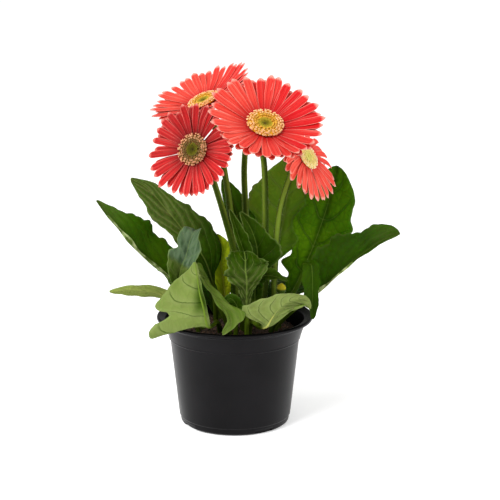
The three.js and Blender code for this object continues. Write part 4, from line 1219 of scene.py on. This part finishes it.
def around_axis(turn):
    """Directions outwards from the disc's middle and onwards round it, at each angle."""
    across, onward, flat = np.cos(turn), np.sin(turn), 0 * turn
    return np.stack([across, onward, flat], 1), np.stack([-onward, across, flat], 1)


def bank_height(bloom):
    """How far the outer florets stand above the middle: more on a bloom whose rays rise."""
    return np.tan(np.radians(max(bloom["cup"], 0) + 6)) * 0.3 * bloom["disc"]


def cups(places, outs, sides, profile, around=6):
    """Small bodies of revolution from a profile (r, z), one at each place, about the direction out.

    sides are directions across outs, where the first point of each ring lies.
    """
    b = np.cross(outs, sides)
    u = circle(around)[:, None]
    r, z = (column[:, None, None] for column in np.array(profile, float).T)
    ring = r * (np.cos(u) * sides[:, None, None] + np.sin(u) * b[:, None, None])
    return places[:, None, None] + ring + z * outs[:, None, None]


def florets(bloom):
    """Open florets in five rings, leaning out more the further out they are."""
    disc, size, bank = bloom["disc"], scale(bloom), bank_height(bloom)
    rows = []
    for order, r in enumerate(ROWS):
        n = np.arange(int(2 * np.pi * r * disc / 1.55))
        turn = (n + 0.5 * (order % 2)) * 2 * np.pi / len(n) + 0.25 * stray(n, order)
        reach = r * disc + 0.5 * stray(n, order + 9)
        lean = lerp(-0.25, 0.75, (r - 0.42) / 0.58) + 0.3 * stray(n, order + 20)
        height = bank + size * np.interp(r, [0.4, 0.62, 0.86, 1], [-1.2, 0.2, 0.2, -1.2])
        way, side = around_axis(turn)
        rows.append((reach[:, None] * way + height * UP, unit(UP + lean[:, None] * way), side, 0 * turn + r))
    places, outs, sides, share = map(np.concatenate, zip(*rows))
    points = cups(places, outs, sides, np.array(TRUMPET) * size)
    height = np.array([0, 0.3, 0.6, 1, 1, 0.3, 0])[:, None]
    own = draw(np.arange(len(points)), 5)[:, None, None]
    return points, spread(points, share[:, None, None], height, own)


def bank_ring(bloom):
    """The soft ring under the florets."""
    k, rise = scale(bloom), bank_height(bloom)
    low = [(0.4, -1.1 * k), (0.66, -1.1 * k)]
    high = [(0.92, -1.1 * k), (0.95, 0), (0.82, 0.8 * k), (0.6, 0.5 * k), (0.4, -0.6 * k)]
    return quoit(np.array(low + [(r, z + rise) for r, z in high]) * (bloom["disc"], 1))


def eye(bloom, count=110):
    """Closed florets on a spiral: the n-th at the golden angle times n, at a reach of sqrt(n)."""
    disc, size = bloom["disc"], scale(bloom)
    share = np.sqrt((np.arange(count) + 0.5) / count)
    way, sides = around_axis(GOLDEN * np.arange(count))
    height = size * lerp(1.1, 2.0, smooth(share, 0.2, 0.9))
    places = EYE_SHARE * disc * share[:, None] * way + height[:, None] * UP
    outs = unit(UP - 0.35 * share[:, None] * way)
    bud = np.array(CLOSED) * size * disc / 16
    points = cups(places, outs, sides, bud)
    own = draw(np.arange(count), 8)[:, None, None]
    return points, spread(points, share[:, None, None], (bud[:, 1] / bud[-1, 1])[:, None], own)


def eye_core(bloom, around=48):
    """The dome that the closed florets sit on, down to the bloom's cup."""
    k, low = scale(bloom), COLLAR["levels"][2] * scale(bloom)
    r = COLLAR["inner"] * bloom["disc"] - 0.4
    dome = [(0.01, low), (r, low), (r, 0.4 * k), (0.9 * r, 1.3 * k), (0.4 * r, 0.8 * k), (0.01, 0.6 * k)]
    rings = revolve(np.array(dome), circle(around))
    return rings.reshape(-1, 3), tube_faces(len(dome), around)


# %% [markdown]
# The colours of the disc change from its middle outwards, and on each floret from the throat to the tip. So
# these finishes read where a floret stands, how high a point is on it, and a number that is the floret's
# own. The blooms differ: gold and cream, rose and olive, or pale cream.


# %% Finish of the florets and the eye
SOFT = dict(Subsurface_Weight=0.1, Subsurface_Scale=0.001, Specular_IOR_Level=0.12)


def floret_finish(name, inner, outer, tip, throat):
    """From the inner to the outer colour by the floret's place, with a pale tip and a dark throat."""
    f = Finish(name, Roughness=0.55, **SOFT)
    part, height, own = f.split(f.vector("floret"))
    body = f.mix(f.step(part, 0.6, 0.85), inner, outer)
    body = f.mix(f.step(own, 0.0, 1.0, 0, 0.4), body, throat)
    body = f.mix(f.step(height, 0.45, 0.0), body, throat)
    ends = f.times(f.step(height, 0.75, 1.0), f.step(part, 0.55, 0.72, 0.15, 0.95))
    body = f.mix(ends, body, tip)
    f.use("Base Color", f.mix(f.step(f.noise(f.place(), 900, 2), 0.35, 0.75, 0, 0.25), body, throat))
    return f.material


def eye_finish(name, middle, edge, dot):
    """From the middle to the edge colour by place, and dot between the florets and in the very middle."""
    f = Finish(name, Roughness=0.5, **SOFT)
    part, height, own = f.split(f.vector("floret"))
    body = f.mix(f.step(part, 0.25, 1.0), middle, edge)
    body = f.mix(f.step(height, 0.6, 0.0, 0, 0.6), body, dot)
    body = f.mix(f.step(own, 0.5, 1.0, 0, 0.3), body, edge)
    f.use("Base Color", f.mix(f.step(part, 0.3, 0.1, 0, 0.85), body, dot))
    f.bump(f.noise(f.place(), 1200, 2), 0.0002, 0.6)
    return f.material


ROSE = (0.08, 0.085, 0.006), (0.36, 0.13, 0.04), (0.92, 0.46, 0.25), (0.12, 0.04, 0.012)
CREAM = (0.92, 0.82, 0.28), (0.96, 0.8, 0.42), (1, 0.9, 0.62), (0.78, 0.58, 0.18)
GOLD = (0.74, 0.43, 0.018), (0.8, 0.37, 0.04), (1, 0.62, 0.34), (0.36, 0.13, 0.008)
disc_finishes = {
    "bloom_left": (
        floret_finish("Florets, rose and olive", *ROSE),
        eye_finish("Eye, dark olive", (0.09, 0.085, 0.006), (0.17, 0.16, 0.01), (0.03, 0.018, 0.005)),
    ),
    "bloom_right": (
        floret_finish("Florets, pale cream", *CREAM),
        eye_finish("Eye, pale yellow", (0.88, 0.86, 0.26), (0.95, 0.9, 0.32), (0.6, 0.6, 0.12)),
    ),
    "bloom_front": (
        floret_finish("Florets, gold and cream", *GOLD),
        eye_finish("Eye, green", (0.17, 0.15, 0.008), (0.46, 0.34, 0.025), (0.08, 0.04, 0.006)),
    ),
}
for bloom in BLOOMS:
    outer, middle = disc_finishes.get(bloom["name"], disc_finishes["bloom_front"])
    sets = ("florets", "floret", florets, bank_ring, outer, 0.3), ("eye", "eye", eye, eye_core, middle, 0.2)
    for part, slot, crowd, seat, finish, height in sets:
        points, values = crowd(bloom)
        seat_points, seat_faces = seat(bloom)
        faces = np.vstack([tubes(points), seat_faces + points.size // 3])
        values = np.vstack([values, np.tile([0.7, height, 0.5], (len(seat_points), 1))])
        points = set_on(bloom, np.vstack([points.reshape(-1, 3), seat_points]))
        name = f"{bloom['name']}_{part}"
        make_piece(name + "_fine", points, faces, finish, {"floret": values}, name)

# %% [markdown]
# ## Buds
#
# Two young buds sit low among the leaves. A bud is a short hairy stalk and a ball of green bracts that
# overlap like tiles. The ball is the end of the same tube, with ridges where the bracts lie. One of the two
# has begun to open, and its top shows yellow.

# %% Shape of the buds
BUDS = [
    dict(name="bud_left", root=(-4, -14), way=[(-3, -17, 92), (0, -22, 101)],
         facing=(0.1, -0.3, 0.95), size=4),
    dict(name="bud_right", root=(26, -8), way=[(31, -8, 98), (38, -9, 112)],
         facing=(0.1, -0.2, 0.95), size=4, open=1),
]
# The outline is pairs of a rise and a radius, in sizes of the bud. Its last rings show yellow as it opens.
BUD = dict(outline=[(0, 0.5), (0.5, 0.95), (1.1, 1), (1.7, 0.8), (2.1, 0.35)], height=2.15, stalk=1.84)
BUD.update(stalk_rings=24, ball_rings=30, open_rings=(38, 43), hairs=250, hair_length=1.1)


def bud_rings(bud, around=24):
    """Rings of the stalk, then rings of the ball whose radius swells and shrinks between the bracts."""
    below, above = BUD["stalk_rings"], BUD["ball_rings"]
    out, side = unit(np.array(bud["facing"], float)), np.array([1.0, 0, 0])
    line, _ = stalk_line(bud["root"], bud["way"])
    centre, tangent = line(np.linspace(0, 0.9, below))
    rise = np.linspace(0, BUD["height"], above)
    ball = np.interp(rise, *np.array(BUD["outline"]).T) * bud["size"]
    top = np.array(bud["way"][-1], float)
    centre = np.vstack([centre, top + out * (rise * bud["size"])[:, None]])
    tangent = np.vstack([tangent, np.tile(out, (above, 1))])
    radius = np.concatenate([np.full(below, BUD["stalk"]), ball])
    rings = circles(centre, tangent, side, radius, around)
    rise = rise[:, None]
    tiles = 0.05 * np.cos(8 * circle(around) + 4 * np.pi * rise) * np.sin(np.pi * np.minimum(rise / 2, 1))
    rings[below:] += (rings[below:] - centre[below:, None]) * tiles[..., None]
    return rings, np.repeat([0.0, 1.0], [below, above])


for order, bud in enumerate(BUDS):
    rings, ball = bud_rings(bud)
    opened = smooth(np.arange(len(ball)), *BUD["open_rings"]) * bud.get("open", 0)
    hair = hairs(rings, BUD["hairs"], BUD["hair_length"], seed=40 + order)
    hairy_piece(bud["name"], rings, ball, opened, *hair)

# %% [markdown]
# ## Floor, light and camera
#
# The plant stands on a pale floor in a bright studio. A white surrounding lights it softly from all sides.
# A large soft light from the upper left gives the petals their form, and two tall ones at the sides draw
# the long highlights on the pot.


# %% Floor and light
def floor_finish():
    """Nearly white, and it glows a little, so that shadows on it stay light."""
    glow = dict(Emission_Color=(1, 1, 1, 1), Emission_Strength=0.35)
    f = Finish("Pale floor", Roughness=0.8, Specular_IOR_Level=0.1, **glow)
    f.use("Base Color", f.mix(f.noise(f.place(), 3, 2), (0.9, 0.9, 0.9), (0.93, 0.93, 0.93)))
    return f.material


def flat_disc(name, radius, material, around=96):
    """A disc of points (r cos a, r sin a, 0)."""
    rings = revolve(np.array([(0.01, 0), (radius, 0)], float), circle(around))
    j = np.arange(around)
    k = (j + 1) % around
    faces = np.stack([j, around + j, around + k, k], 1)
    mesh = bpy.data.meshes.new(name)
    mesh.from_pydata((rings.reshape(-1, 3) * MM).tolist(), [], faces.tolist())
    mesh.materials.append(material)
    disc = bpy.data.objects.new(name, mesh)
    bpy.context.scene.collection.objects.link(disc)
    return disc


flat_disc("floor", 9000, floor_finish())


def soft_light(name, place, aim, size, power):
    """A rectangle of light at a place, turned towards its aim."""
    light = bpy.data.lights.new(name, "AREA")
    light.shape, light.size, light.size_y, light.energy = "RECTANGLE", *size, power
    lamp = bpy.data.objects.new(name, light)
    lamp.location = place
    direction = Vector(aim) - Vector(place)
    lamp.rotation_euler = direction.to_track_quat("-Z", "Y").to_euler()
    bpy.context.scene.collection.objects.link(lamp)
    return lamp


soft_light("key", (-1.0, -1.3, 1.6), (0, 0, 0.18), (0.8, 0.8), 36)
soft_light("right_side", (1.5, -0.7, 0.6), (0, 0, 0.15), (0.5, 1.4), 9)
soft_light("left_side", (-1.6, -0.3, 0.5), (0, 0, 0.12), (0.4, 1.4), 8)

world = bpy.data.worlds.new("studio")
world.use_nodes = True
world.node_tree.nodes["Background"].inputs["Color"].default_value = (1, 1, 1, 1)
world.node_tree.nodes["Background"].inputs["Strength"].default_value = 0.75
bpy.context.scene.world = world
bpy.context.scene.view_settings.view_transform = "Standard"

# %% [markdown]
# The camera looks down at the plant by about 13 degrees, as a person does at a table. It stands 1.3 m away
# with a long lens, so the sides of the pot stay nearly parallel.

# %% Camera
LOOK_AT = np.array([0.0127, 0.0, 0.1466])
DISTANCE = 1.3
ELEVATION = np.radians(12.9)
LENS = 113.2

back = np.array([0, -np.cos(ELEVATION), np.sin(ELEVATION)])
camera = bpy.data.objects.new("camera", bpy.data.cameras.new("camera"))
camera.data.lens = LENS
camera.data.sensor_width = 36
camera.location = LOOK_AT + back * DISTANCE
camera.rotation_euler = (np.pi / 2 - ELEVATION, 0, 0)
bpy.context.scene.collection.objects.link(camera)
bpy.context.scene.camera = camera
